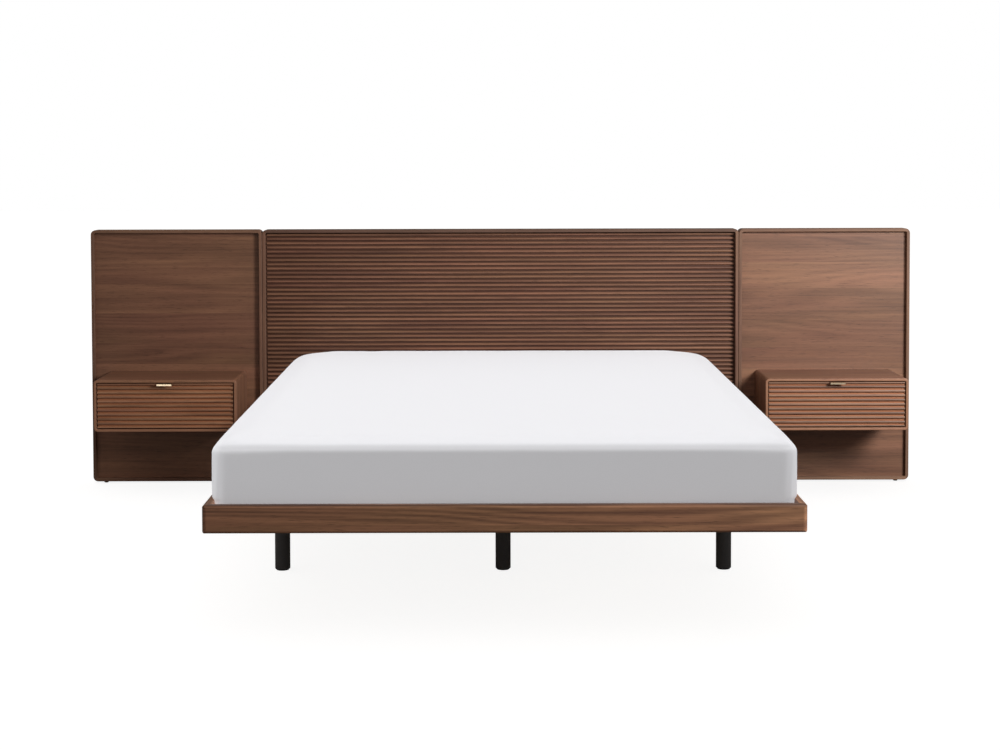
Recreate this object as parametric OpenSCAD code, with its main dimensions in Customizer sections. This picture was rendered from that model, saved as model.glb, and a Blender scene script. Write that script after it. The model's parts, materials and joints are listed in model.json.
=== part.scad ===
// Platform bed with a wide three-panel headboard and a wall-hung style nightstand on each side panel.
// The headboard's middle panel and the two drawer fronts are reeded: long rounded reeds with grooves between.
// Frame: X across the bed, -Y at the foot, +Y at the headboard, Z up from the floor. Millimetres.

/* [Mattress] */
// Nominal width of the mattress
mattress_w = 1524; // [1370:1:1930]
// Nominal length of the mattress
mattress_l = 2032; // [1880:1:2130]
// Thickness of the mattress at its border
mattress_h = 178; // [150:1:300]
// Rise of the crown at the middle of the mattress
mattress_crown = 12; // [0:1:20]
// How far the sides swell past the nominal size above the rails
mattress_swell = 6; // [0:0.5:12]
// How far the long edges draw in between the corners
mattress_draw = 3; // [0:0.5:8]
// Radius of the rolled top and bottom edges
mattress_roll = 18; // [12:1:40]
// Plan radius of the two corners at the headboard
mattress_head_r = 120; // [55:1:140]
// Plan radius of the two corners at the foot
mattress_foot_r = 60; // [45:1:140]

/* [Bed frame] */
// Thickness of the side, foot and head rails
rail_t = 21; // [18:0.5:30]
// Height of the rails
rail_h = 74; // [60:1:140]
// Clear height under the rails
rail_z = 279; // [200:1:360]
// Radius of the rails' long outer edges
rail_edge_r = 8; // [3:0.5:9]
// Radius of the rails' long inner edges
rail_inner_r = 1.5; // [0.5:0.5:3]
// Radius of the two upright corners at the foot
rail_corner_r = 12; // [10:0.5:17]
// Room between the mattress and the foot rail
foot_room = 8; // [4:1:40]
// Room between the mattress and the head rail
head_room = 4; // [4:1:40]
// Height of the ledgers that carry the slats
ledger_h = 26; // [22:1:34]
// Width of the ledgers
ledger_w = 24; // [18:1:40]
// Number of slats
slat_count = 13; // [9:1:16]
// Width of a slat
slat_w = 80; // [60:1:100]
// Thickness of a slat
slat_t = 16; // [12:1:20]
// Distance from the foot rail to the first slat, and from the last slat to the head rail
slat_margin = 40; // [25:1:60]
// Width of the centre beam
centre_beam_w = 50; // [36:1:90]
// Height of the cross beams under the rails
cross_beam_h = 33; // [24:1:60]
// Width of the cross beams
cross_beam_w = 70; // [60:1:120]
// How far the cross beams stop short of the rails' outer faces
cross_beam_inset = 40; // [12:1:60]

/* [Legs] */
// Diameter of a leg
leg_d = 46; // [30:1:54]
// Distance from the front of the foot rail to the first row of legs
leg_front = 745; // [200:1:900]
// Distance between the two rows of legs
leg_spread = 930; // [600:1:1000]
// Distance from the frame's outer faces to the centres of the outer legs
leg_inset = 115; // [95:1:300]
// Thickness of the glide under a leg
glide_t = 3; // [2:0.5:8]
// Thickness of the plate on top of a leg
plate_t = 3; // [2:0.5:6]

/* [Headboard] */
// Height of the headboard above the floor
head_h = 968; // [800:1:1300]
// How far the middle panel runs past the bed frame on each side
centre_margin = 123; // [30:1:300]
// Width of a side panel
side_w = 650; // [600:1:900]
// Gap between neighbouring panels
seam_gap = 1; // [0.5:0.1:3]
// Thickness of the rim that frames each panel
rim_t = 12; // [10:0.5:16]
// How far the rim stands in front of the boards
rim_proud = 17; // [6:0.5:20]
// Outer corner radius of the rim
rim_corner_r = 18; // [17:0.5:30]
// Radius of the rim's front edges
rim_edge_r = 2; // [1:0.5:4]
// Thickness of the panel boards
board_t = 18; // [16:0.5:25]
// Thickness of the battens behind the boards
batten_t = 22; // [20:0.5:30]
// Height of the battens
batten_h = 70; // [60:1:90]
// Height of the levelling feet under the panels
level_h = 7; // [5:0.5:12]
// Diameter of a levelling foot
level_d = 16; // [12:1:22]
// Distance from a panel's edge to its levelling foot
level_inset = 45; // [30:1:100]

/* [Reeds] */
// Nominal distance from one reed to the next
reed_pitch = 16.2; // [13:0.1:22]
// Width of the groove between two reeds
groove_w = 6.5; // [3:0.5:8]
// Depth of the grooves
groove_d = 8.5; // [4:0.5:9.5]
// Radius of a reed's front edges
reed_r = 4.6; // [1:0.1:4.8]
// Gap between the ends of the headboard's reeds and the rim
reed_end_gap = 4; // [1:0.5:12]

/* [Nightstands] */
// Width of a nightstand
case_w = 524; // [460:1:560]
// Height of a nightstand
case_h = 190; // [170:1:240]
// Depth of a nightstand in front of the panel
case_d = 265; // [250:1:400]
// Height of a nightstand's underside above the floor
case_z = 239; // [120:1:360]
// Thickness of the nightstand's boards
case_t = 9.5; // [9:0.5:11]
// Outer corner radius of the nightstand
case_corner_r = 14; // [13:0.5:20]
// Radius of the front edges of the nightstand's boards
case_edge_r = 2; // [0.5:0.5:3]
// Distance from the case's outer faces to its mounting bolts
mount_inset_x = 60; // [50:1:120]
// Distance from the case's top and bottom to its mounting bolts
mount_inset_z = 27; // [23:1:32]

/* [Drawers] */
// Gap round a drawer front
front_gap = 3.5; // [2.4:0.1:4]
// How far a drawer front sits behind the case's front edge
front_recess = 1.5; // [0:0.5:6]
// Thickness of a drawer front, with its reeds
front_t = 18; // [16:0.5:24]
// Thickness of a drawer's sides and back
wall_t = 12; // [11:0.5:16]
// Height of a drawer's sides
wall_h = 110; // [90:1:120]
// Height of a drawer's sides above the bottom board of the case
wall_rise = 20; // [12:1:30]
// Length of a drawer's sides
wall_l = 220; // [215:1:220]
// Thickness of a drawer's bottom
bottom_t = 6; // [4:0.5:9]
// Length of the drawer slides
slide_l = 210; // [180:1:212]

/* [Pulls] */
// Length of a pull
pull_w = 54; // [40:1:160]
// Thickness of the pull's sheet brass
pull_t = 1.6; // [1.2:0.1:2]
// How far a pull stands in front of the drawer
pull_reach = 18; // [14:1:30]
// Height of a pull's lip
pull_h = 6.5; // [5.5:0.5:14]

/* [Hidden] */

$fn = 48;
LEFT = -1;
RIGHT = 1;

// Colours
walnut = "#6b4a3c";
walnut_edge = "#85634f";
plywood = "#c9ae84";
black = "#1c1b1c";
steel = "#b4b7ba";
brass = "#c9a777";
cotton = "#ececef";

// Clearances
soft_gap = 0.3;    // mattress to what carries it
slat_gap = 2;      // slat ends to the side rails
bore_gap = 0.3;    // round a fastener in its hole, on the radius
groove_gap = 0.2;  // round the drawer bottom in its grooves
race_gap = 0.4;    // between the races of two slide members

// Places along Y and Z that the pieces share
frame_w = mattress_w + 2 * rail_t;
bed_l = rail_t + foot_room + mattress_l + head_room + rail_t;
depth = bed_l + board_t + batten_t;
foot_y = -depth / 2;
face_y = foot_y + bed_l;
rim_y = face_y - rim_proud;
rim_depth = rim_proud + board_t + batten_t;
board_back_y = face_y + board_t;
back_y = depth / 2;
rail_inner_x = frame_w / 2 - rail_t;
foot_inner_y = foot_y + rail_t;
head_rail_y = face_y - rail_t;
slat_z = rail_z + ledger_h;
slat_top = slat_z + slat_t;
rail_top = rail_z + rail_h;

// Headboard panels
centre_w = frame_w + 2 * centre_margin;
side_x = centre_w / 2 + seam_gap + side_w / 2;
panel_h = head_h - level_h;
panel_mid_z = level_h + panel_h / 2;
board_h = panel_h - 2 * rim_t;
board_corner_r = rim_corner_r - rim_t;
batten_low_z = rail_z + rail_h / 2;
batten_high_z = head_h - rim_t - batten_h;
batten_zs = [batten_low_z, (batten_low_z + batten_high_z) / 2, batten_high_z];
bolt_z = rail_z + 20;
bolt_xs = [-frame_w / 2 + 133, -250, 250, frame_w / 2 - 133];

// Reeds
reed_count = round(board_h / reed_pitch);
head_pitch = board_h / reed_count;
head_reed_w = head_pitch - groove_w;
front_w = case_w - 2 * (case_t + front_gap);
front_h = case_h - 2 * (case_t + front_gap);
front_reed_w = reed_pitch - groove_w;
front_half_count = floor((front_h / 2 - front_reed_w / 2 - groove_w - 1.5) / reed_pitch);
front_strip_w = front_h / 2 - front_half_count * reed_pitch - front_reed_w / 2 - groove_w;

// Nightstands and drawers
case_y = face_y - case_d;
case_mid_z = case_z + case_h / 2;
inner_w = case_w - 2 * case_t;
front_y = case_y + front_recess;
front_back_y = front_y + front_t;
slide_t = 12.7;
slide_h = 44;
slide_sheet = 1.2;
box_w = inner_w - 2 * slide_t;
wall_z = case_z + case_t + wall_rise;
slide_z = wall_z + wall_h / 2;
slide_y = front_back_y + 4;
bottom_z = wall_z + 12;
groove_in = 5;
pull_recess = 1;
pull_tab = 12;
pull_top = case_z + case_h - case_t - front_gap - pull_recess + pull_t;
pull_bend_r = 2.5;

// Fasteners
bolt_d = 8;
nut_d = 18;
nut_t = 6;
head_d = 15;
head_t = 3;
mount_bolt_d = 6;
barrel_d = 8;
screw_d = 5;
stud_d = 8;
stud_l = 22;
bracket_leg = 60;
bracket_h = 20;
bracket_t = 3;

// ---- Shared forms ----

// Circle's arc from one angle to another, as points
function arc(c, r, from, to, steps) =
    [for (i = [0 : steps]) let (a = from + (to - from) * i / steps) c + r * [cos(a), sin(a)]];

// One reed in section, from groove floor to groove floor: x is the depth behind the reeds' fronts, y is up
function reed(mid, w, r) = concat(
    [[groove_d, mid - w / 2]],
    arc([r, mid - w / 2 + r], r, 270, 180, 5),
    arc([r, mid + w / 2 - r], r, 180, 90, 5),
    [[groove_d, mid + w / 2]]);

// A board's section with reeds on its front, given each reed's middle and width
function reeded_section(mids, widths, h, t) = concat(
    [[t, -h / 2], [groove_d, -h / 2]],
    [for (i = [0 : len(mids) - 1]) each reed(mids[i], widths[i], min(reed_r, widths[i] / 2 - 0.2))],
    [[groove_d, h / 2], [t, h / 2]]);

// Steps in the half of a frame's corner that one member turns through
turn_steps = 4;

// Section of a frame member: the inner face at x = 0, the outer face at x = t, the back at y = -d and the
// front at y = 0, with a radius for each corner: [inner back, outer back, outer front, inner front]
function member_section(t, d, r) =
    let (corners = [[0, -d], [t, -d], [t, 0], [0, 0]])
    [for (i = [0 : 3])
        let (inward = [corners[i].x > 0 ? -1 : 1, corners[i].y < 0 ? 1 : -1])
        each r[i] > 0
            ? arc(corners[i] + r[i] * inward, r[i], 180 + 90 * i, 270 + 90 * i, ceil(r[i]) + 1)
            : [corners[i]]];

// Rounded rectangle about the origin, all corners alike
module round_plate(w, h, r) {
    square([w - 2 * r, h], center = true);
    square([w, h - 2 * r], center = true);
    for (x = [-1, 1], y = [-1, 1])
        translate([x * (w / 2 - r), y * (h / 2 - r)])
            circle(r);
}

// Extrudes a section along X: its x goes up and its y comes out at -Y
module along_x(l) {
    rotate([180, 0, 0])
        rotate([0, 90, 0])
            linear_extrude(l)
                children();
}

// Extrudes a reeded section along X: its x is the depth and its y is up
module across(l) {
    rotate([90, 0, 90])
        linear_extrude(l, center = true)
            children();
}

// One of the four mitred members of a frame with rounded corners. It lies along X with its outer face at
// z = 0 and its front at y = 0: t is its thickness, d its depth behind the front, r the frame's corner
// radius, more than t, and edges the radii of its section. Each end runs half way round its corner.
module frame_member(l, t, d, r, edges) {
    section = member_section(t, d, edges);
    turns = concat(
        [for (i = [0 : turn_steps]) [r - l / 2, 135 - 45 * i / turn_steps]],
        [for (i = [0 : turn_steps]) [l / 2 - r, 90 - 45 * i / turn_steps]]);
    rings = [for (turn = turns) [for (p = section)
        [turn[0] + (r - t + p.x) * cos(turn[1]), -p.y, (r - t + p.x) * sin(turn[1]) - r]]];
    n = len(section);
    last = len(rings) - 1;
    polyhedron(
        [for (ring = rings) each ring],
        concat(
            [[for (i = [0 : n - 1]) i]],
            [for (k = [0 : last - 1], i = [0 : n - 1])
                [k * n + i, k * n + n + i, k * n + n + (i + 1) % n, k * n + (i + 1) % n]],
            [[for (i = [n - 1 : -1 : 0]) last * n + i]]));
}

// The same member where it is thicker than the corner's radius: its edges run straight into the mitre
module mitred_member(l, t, d, r, edges, turn_low = true, turn_high = true) {
    low_end = [[-l / 2 + t, -t], each arc([-l / 2 + r, -r], r, 135, 90, turn_steps)];
    high_end = [each arc([l / 2 - r, -r], r, 90, 45, turn_steps), [l / 2 - t, -t]];
    intersection() {
        translate([-l / 2, 0, -t])
            along_x(l)
                polygon(member_section(t, d, edges));
        translate([0, d, 0])
            rotate([90, 0, 0])
                linear_extrude(d)
                    polygon(concat(
                        turn_low ? low_end : [[-l / 2, -t], [-l / 2, 0]],
                        turn_high ? high_end : [[l / 2, 0], [l / 2, -t]]));
    }
}

// Bolt along +Y with its head at the origin's -Y side
module bolt(d, l, hd, ht) {
    rotate([-90, 0, 0]) {
        translate([0, 0, -ht])
            cylinder(d = hd, h = ht);
        cylinder(d = d, h = l);
    }
}

// Hole for such a bolt
module bolt_hole(d, l) {
    rotate([-90, 0, 0])
        translate([0, 0, -1])
            cylinder(r = d / 2 + bore_gap, h = l + 2);
}

// ---- Headboard ----

module rim_bar(l) {
    frame_member(l, rim_t, rim_depth, rim_corner_r, [0, 0, rim_edge_r, rim_edge_r]);
}

module rim_top(x, w) {
    translate([x, rim_y, head_h])
        rim_bar(w);
}

module rim_bottom(x, w) {
    difference() {
        translate([x, rim_y, level_h])
            rotate([0, 180, 0])
                rim_bar(w);
        for (side = [-1, 1])
            translate([x + side * (w / 2 - level_inset), level_y(), 0])
                cylinder(r = stud_d / 2 + bore_gap, h = level_h + rim_t + 1);
    }
}

// Upright rim member on one side of a panel, drilled for the panel connectors where a seam is
module rim_upright(x, w, side, seam) {
    difference() {
        translate([x + side * w / 2, rim_y, panel_mid_z])
            rotate([0, side * 90, 0])
                rim_bar(panel_h);
        if (seam)
            for (z = connector_zs())
                translate([x + side * w / 2, connector_y(), z])
                    rotate([0, 90, 0])
                        cylinder(r = barrel_d / 2 + bore_gap, h = 4 * rim_t, center = true);
    }
}

function level_y() = face_y + board_t / 2 - 3;
function connector_y() = board_back_y + batten_t / 2;
function connector_zs() = [
    (level_h + rim_t + batten_zs[0] - batten_h / 2) / 2,
    (batten_zs[0] + batten_zs[1]) / 2,
    (batten_zs[1] + batten_zs[2]) / 2];

module centre_reeded_panel() {
    mids = [for (i = [0 : reed_count - 1]) (i + 0.5) * head_pitch - board_h / 2];
    widths = [for (i = mids) head_reed_w];
    board_w = centre_w - 2 * rim_t;
    color(walnut)
        translate([0, face_y, panel_mid_z])
            difference() {
                intersection() {
                    across(board_w)
                        polygon(reeded_section(mids, widths, board_h, board_t));
                    translate([0, board_t + 1, 0])
                        rotate([90, 0, 0])
                            linear_extrude(board_t + 2)
                                round_plate(board_w, board_h, board_corner_r);
                }
                for (side = [-1, 1])
                    translate([side * board_w / 2, groove_d / 2 - 1, 0])
                        cube([2 * reed_end_gap, groove_d + 2, board_h + 2], center = true);
                for (x = bolt_xs)
                    translate([x, 0, bolt_z - panel_mid_z])
                        bolt_hole(bolt_d, board_t);
            }
}

module side_panel(side) {
    color(walnut)
        difference() {
            translate([side * side_x, board_back_y, panel_mid_z])
                rotate([90, 0, 0])
                    linear_extrude(board_t)
                        round_plate(side_w - 2 * rim_t, board_h, board_corner_r);
            at_mounting_bolts(side)
                translate([0, -board_t, 0])
                    bolt_hole(mount_bolt_d, board_t);
        }
}

// Places its child where a nightstand's bolts come through the back of the side panel
module at_mounting_bolts(side) {
    for (x = [-1, 1], z = [-1, 1])
        translate([side * side_x + x * (case_w / 2 - mount_inset_x), board_back_y,
            case_mid_z + z * (case_h / 2 - mount_inset_z)])
            children();
}

// Horizontal stiffeners behind each panel
module headboard_battens() {
    color(plywood) {
        difference() {
            battens(0, centre_w);
            for (x = bolt_xs)
                translate([x, board_back_y, bolt_z]) {
                    bolt_hole(bolt_d, batten_t);
                    translate([0, batten_t - nut_t - 1, 0])
                        rotate([-90, 0, 0])
                            cylinder(r = nut_d / 2 + 1, h = nut_t + 2);
                }
        }
        for (side = [-1, 1])
            battens(side * side_x, side_w);
    }
}

module battens(x, w) {
    for (z = batten_zs)
        translate([x - w / 2 + rim_t, board_back_y, z - batten_h / 2])
            cube([w - 2 * rim_t, batten_t, batten_h]);
}

// Barrel nuts and screws that pull neighbouring rims together, in the open back of the headboard
module panel_connectors() {
    seam_x = centre_w / 2 + seam_gap / 2;
    grip = 2 * rim_t + seam_gap;
    color(steel)
        for (side = [-1, 1], z = connector_zs())
            translate([side * seam_x - side * grip / 2, connector_y(), z])
                rotate([0, side * 90, 0]) {
                    difference() {
                        union() {
                            translate([0, 0, -2.5])
                                cylinder(d = head_d, h = 2.5);
                            cylinder(d = barrel_d, h = grip - 0.5);
                        }
                        translate([0, 0, 4])
                            cylinder(d = screw_d + 0.2, h = grip);
                    }
                    translate([0, 0, 5])
                        cylinder(d = screw_d, h = grip - 5);
                    translate([0, 0, grip])
                        cylinder(d = head_d, h = 2.5);
                }
}

// Glides with threaded stems in the bottom rims, two to a panel
module levelling_feet() {
    pad_t = 4;
    color(black)
        for (panel = [[0, centre_w], [-side_x, side_w], [side_x, side_w]], side = [-1, 1])
            translate([panel[0] + side * (panel[1] / 2 - level_inset), level_y(), 0]) {
                cylinder(d1 = level_d - 2, d2 = level_d, h = 1);
                translate([0, 0, 1])
                    cylinder(d = level_d, h = pad_t - 1);
                translate([0, 0, pad_t])
                    cylinder(d = level_d - 3, h = level_h - pad_t);
                translate([0, 0, level_h])
                    cylinder(d = stud_d, h = rim_t - 1);
            }
}

// ---- Bed frame ----

rail_edges = [rail_inner_r, rail_edge_r, rail_edge_r, rail_inner_r];

module foot_rail() {
    color(walnut)
        translate([0, foot_y, rail_top])
            rotate([-90, 0, 180])
                mitred_member(frame_w, rail_t, rail_h, rail_corner_r, rail_edges);
}

// Side rail from its mitre at the foot to the face of the headboard
module side_rail(side) {
    color(walnut)
        translate([side * frame_w / 2, foot_y + bed_l / 2, rail_top])
            rotate([-90, 0, side < 0 ? 90 : 270])
                mitred_member(bed_l, rail_t, rail_h, rail_corner_r, rail_edges, side < 0, side > 0);
}

module head_rail() {
    color(walnut)
        difference() {
            translate([-rail_inner_x, head_rail_y, rail_z])
                cube([2 * rail_inner_x, rail_t, rail_h]);
            for (x = bolt_xs)
                translate([x, head_rail_y, bolt_z])
                    bolt_hole(bolt_d, rail_t);
        }
}

module side_ledgers() {
    l = head_rail_y - foot_inner_y - 2 * (bracket_leg + 3);
    color(plywood)
        for (side = [-1, 1])
            translate([side * (rail_inner_x - ledger_w / 2), foot_inner_y + bracket_leg + 3 + l / 2,
                rail_z + ledger_h / 2])
                cube([ledger_w, l, ledger_h], center = true);
}

module centre_beam() {
    color(plywood)
        translate([-centre_beam_w / 2, foot_inner_y, rail_z])
            cube([centre_beam_w, head_rail_y - foot_inner_y, ledger_h]);
}

function leg_rows() = [foot_y + leg_front, foot_y + leg_front + leg_spread];
function leg_xs() = [-frame_w / 2 + leg_inset, 0, frame_w / 2 - leg_inset];

module cross_beams() {
    l = frame_w - 2 * cross_beam_inset;
    color(plywood)
        for (y = leg_rows())
            difference() {
                translate([-l / 2, y - cross_beam_w / 2, rail_z - cross_beam_h])
                    cube([l, cross_beam_w, cross_beam_h]);
                for (x = leg_xs())
                    translate([x, y, rail_z - cross_beam_h - 1])
                        cylinder(r = stud_d / 2 + bore_gap, h = stud_l + 1);
            }
}

module slats() {
    first = foot_inner_y + slat_margin;
    last = head_rail_y - slat_margin - slat_w;
    color(plywood)
        for (i = [0 : slat_count - 1])
            translate([0, first + (last - first) * i / (slat_count - 1) + slat_w / 2, slat_z])
                linear_extrude(slat_t)
                    round_plate(2 * (rail_inner_x - slat_gap), slat_w, 4);
}

// Steel angles in the four inner corners, under the slats
module corner_brackets() {
    color(steel)
        for (side = [-1, 1], foot = [false, true])
            translate([side * rail_inner_x, foot ? foot_inner_y : head_rail_y, rail_z + 2])
                mirror([side > 0 ? 1 : 0, 0, 0])
                    mirror([0, foot ? 0 : 1, 0])
                        difference() {
                            linear_extrude(bracket_h)
                                difference() {
                                    square(bracket_leg);
                                    translate([bracket_t, bracket_t])
                                        square(bracket_leg);
                                }
                            for (a = [20, 45]) {
                                translate([a, -1, bracket_h / 2])
                                    rotate([-90, 0, 0])
                                        cylinder(d = 5, h = bracket_t + 2);
                                translate([-1, a, bracket_h / 2])
                                    rotate([0, 90, 0])
                                        cylinder(d = 5, h = bracket_t + 2);
                            }
                        }
}

// Bolts that pull the head rail against the headboard, with their nuts sunk in the batten
module bed_bolts() {
    l = rail_t + board_t + batten_t - 1;
    color(steel)
        for (x = bolt_xs) {
            translate([x, head_rail_y, bolt_z])
                bolt(bolt_d, l, head_d, head_t);
            translate([x, back_y - nut_t - 1, bolt_z])
                rotate([-90, 0, 0])
                    difference() {
                        cylinder(d = nut_d, h = nut_t);
                        translate([0, 0, -1])
                            cylinder(d = bolt_d + 0.2, h = nut_t + 2);
                    }
        }
}

module leg_row(y) {
    top = rail_z - cross_beam_h - plate_t;
    color(black)
        for (x = leg_xs())
            translate([x, y, glide_t]) {
                cylinder(d1 = leg_d - 3, d2 = leg_d, h = 1.5);
                translate([0, 0, 1.5])
                    cylinder(d = leg_d, h = top - glide_t - 1.5);
                translate([0, 0, top - glide_t])
                    cylinder(d = stud_d, h = plate_t + stud_l - 2);
            }
}

module front_legs() {
    leg_row(leg_rows()[0]);
}

module rear_legs() {
    leg_row(leg_rows()[1]);
}

module leg_plates() {
    color(black)
        for (x = leg_xs(), y = leg_rows())
            translate([x, y, rail_z - cross_beam_h - plate_t])
                difference() {
                    linear_extrude(plate_t)
                        round_plate(leg_d + 34, leg_d + 12, 5);
                    translate([0, 0, -1])
                        cylinder(r = stud_d / 2 + bore_gap, h = plate_t + 2);
                    for (a = [-1, 1])
                        translate([a * (leg_d / 2 + 9), 0, -1])
                            cylinder(d = 5, h = plate_t + 2);
                }
}

module leg_glides() {
    color(black)
        for (x = leg_xs(), y = leg_rows())
            translate([x, y, 0])
                cylinder(d = leg_d - 8, h = glide_t);
}

// ---- Mattress ----

// Half width and half length of the mattress, the width held in by the rails
mattress_a = mattress_w / 2 - 2 * soft_gap;
mattress_b = mattress_l / 2;
mattress_sink = rail_top - slat_top;
mattress_low = max(mattress_roll, mattress_sink);
corner_steps = 7;
side_steps = 5;

// One corner of the outline drawn in by an inset, as an arc
function mattress_corner(i, inset) =
    let (sx = [1, 1, -1, -1][i], sy = [-1, 1, 1, -1][i],
        r = max((sy > 0 ? mattress_head_r : mattress_foot_r) - inset, 12))
    arc([sx * (mattress_a - inset - r), sy * (mattress_b - inset - r)], r, 90 * i - 90, 90 * i, corner_steps);

// The whole outline, with points along its straight sides
function mattress_outline(inset) = [for (i = [0 : 3])
    let (here = mattress_corner(i, inset), next = mattress_corner((i + 1) % 4, inset))
    each concat(here, [for (s = [1 : side_steps])
        here[corner_steps] + (next[0] - here[corner_steps]) * s / (side_steps + 1)])];

// A ring of the mattress: its sides pushed out, or drawn in, most at their middles
function mattress_ring(inset, push, z) = [for (p = mattress_outline(inset)) [
    p.x * (1 + push / mattress_a * (1 - pow(p.y / mattress_b, 2))),
    p.y * (1 + push / mattress_b * (1 - pow(p.x / mattress_a, 2))),
    z]];

// How much of the crown is reached at a share of the way in: it rises steeply at the edge, then levels off
crown_power = 14;
function crown_rise(u) = 1 - pow(1 - u, crown_power);

// Rings from the underside, round the lower edge, up the side, round the upper edge and over the crown
roll_steps = 5;
side_rows = 5;
crown_rows = 6;
mattress_rings = concat(
    [for (i = [0 : roll_steps]) let (a = 90 * i / roll_steps)
        mattress_ring(mattress_roll * (1 - sin(a)), -mattress_draw, mattress_roll * (1 - cos(a)))],
    [for (i = [1 : side_rows]) let (u = i / (side_rows + 1))
        mattress_ring(0, mattress_swell * pow(sin(180 * u), 0.7) - mattress_draw * (1 - sin(180 * u)),
            mattress_low + (mattress_h - mattress_roll - mattress_low) * u)],
    [for (i = [0 : roll_steps]) let (a = 90 * i / roll_steps)
        mattress_ring(mattress_roll * (1 - cos(a)), -mattress_draw,
            mattress_h - mattress_roll * (1 - sin(a)))],
    [for (i = [1 : crown_rows]) let (u = pow(i / (crown_rows + 1), 2))
        mattress_ring(mattress_roll + (mattress_a - mattress_roll) * u, 0,
            mattress_h + mattress_crown * crown_rise(u))]);
ring_n = len(mattress_rings[0]);
ring_last = len(mattress_rings) - 1;
mattress_points = concat(
    [for (ring = mattress_rings) each ring],
    [[0, 0, 0], [0, 0, mattress_h + mattress_crown]]);
mattress_faces = concat(
    [for (k = [0 : ring_last - 1], i = [0 : ring_n - 1])
        let (j = (i + 1) % ring_n, low = k * ring_n, high = low + ring_n)
        each [[low + i, high + i, high + j], [low + i, high + j, low + j]]],
    [for (i = [0 : ring_n - 1]) [ring_n * (ring_last + 1), i, (i + 1) % ring_n]],
    [for (i = [0 : ring_n - 1])
        [ring_n * (ring_last + 1) + 1, ring_last * ring_n + (i + 1) % ring_n, ring_last * ring_n + i]]);

module mattress() {
    color(cotton)
        translate([0, foot_inner_y + foot_room + mattress_b, slat_top + soft_gap])
            polyhedron(mattress_points, mattress_faces);
}

// ---- Nightstand cases ----

module case_board(l) {
    color(walnut)
        frame_member(l, case_t, case_d, case_corner_r, [0, 0, case_edge_r, case_edge_r]);
}

module case_top(side) {
    translate([side * side_x, case_y, case_z + case_h])
        case_board(case_w);
}

module case_bottom(side) {
    translate([side * side_x, case_y, case_z])
        rotate([0, 180, 0])
            case_board(case_w);
}

module case_sides(side) {
    for (end = [-1, 1])
        translate([side * side_x + end * case_w / 2, case_y, case_mid_z])
            rotate([0, end * 90, 0])
                case_board(case_h);
}

module case_back(side) {
    color(walnut)
        difference() {
            translate([side * side_x, face_y, case_mid_z])
                rotate([90, 0, 0])
                    linear_extrude(case_t)
                        round_plate(inner_w, case_h - 2 * case_t, case_corner_r - case_t);
            at_mounting_bolts(side)
                translate([0, -board_t - case_t + 3, 0])
                    bolt_hole(mount_bolt_d, case_t);
        }
}

// Bolts from behind the side panel into the back of the case
module mounting_bolts(side) {
    color(steel)
        at_mounting_bolts(side)
            rotate([0, 0, 180])
                bolt(mount_bolt_d, board_t + case_t - 3, head_d, head_t);
}

// ---- Drawers ----

// Places its child at both ends of a drawer's width, mirrored so that +X points from the case to the drawer
module at_slides(side) {
    for (end = [-1, 1])
        translate([side * side_x + end * inner_w / 2, slide_y, slide_z])
            mirror([end > 0 ? 1 : 0, 0, 0])
                children();
}

// Extrudes a slide member's section, drawn in X and Z, along Y
module along_y(l) {
    translate([0, l, 0])
        rotate([90, 0, 0])
            linear_extrude(l)
                children();
}

// Channel section: its web from x = 0, its flanges towards +X
module channel(w, h) {
    difference() {
        translate([0, -h / 2])
            square([w, h]);
        translate([slide_sheet, -h / 2 + slide_sheet])
            square([w, h - 2 * slide_sheet]);
    }
}

middle_h = 34;
middle_w = 6;
middle_race_r = (slide_h / 2 - slide_sheet - race_gap - middle_h / 2) / 2;
inner_h = 26;
inner_member_w = 6;
inner_race_r = (middle_h / 2 - slide_sheet - race_gap - inner_h / 2) / 2;

module slide_case_members(side) {
    color(steel)
        at_slides(side)
            along_y(slide_l)
                channel(10.5, slide_h);
}

// Middle member, with a rounded race along each flange that runs in the case member
module slide_middle_members(side) {
    color(steel)
        at_slides(side)
            along_y(slide_l)
                translate([slide_sheet + 1.2, 0]) {
                    channel(middle_w, middle_h);
                    for (a = [-1, 1])
                        translate([middle_w / 2, a * (middle_h / 2 + middle_race_r - 0.1)])
                            circle(middle_race_r + 0.1);
                }
}

// Drawer member, facing the middle one, with a race along each flange that runs in it
module slide_drawer_members(side) {
    color(steel)
        at_slides(side)
            along_y(slide_l)
                translate([slide_t, 0])
                    mirror([1, 0]) {
                        channel(inner_member_w + 2, inner_h);
                        for (a = [-1, 1])
                            translate([inner_member_w, a * (inner_h / 2 + inner_race_r - 0.1)])
                                circle(inner_race_r + 0.1);
                    }
}

module drawer_front(side) {
    full = [for (i = [-front_half_count : front_half_count]) i * reed_pitch];
    strip = front_h / 2 - front_strip_w / 2;
    mids = concat([-strip], full, [strip]);
    widths = concat([front_strip_w], [for (i = full) front_reed_w], [front_strip_w]);
    color(walnut)
        difference() {
            translate([side * side_x, front_y, case_mid_z])
                across(front_w)
                    polygon(reeded_section(mids, widths, front_h, front_t));
            translate([side * side_x - pull_w / 2 - groove_gap, front_y - 1, pull_top - pull_t])
                cube([pull_w + 2 * groove_gap, pull_tab + groove_gap + 1, case_h]);
            bottom_cut(side);
        }
}

// The groove that a drawer's bottom sits in, cut from the front, the sides and the back
module bottom_cut(side) {
    translate([side * side_x - box_w / 2 + wall_t - groove_in - groove_gap,
        front_back_y - groove_in - groove_gap, bottom_z - groove_gap])
        cube([box_w - 2 * (wall_t - groove_in - groove_gap),
            wall_l - wall_t + 2 * (groove_in + groove_gap), bottom_t + 2 * groove_gap]);
}

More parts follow.
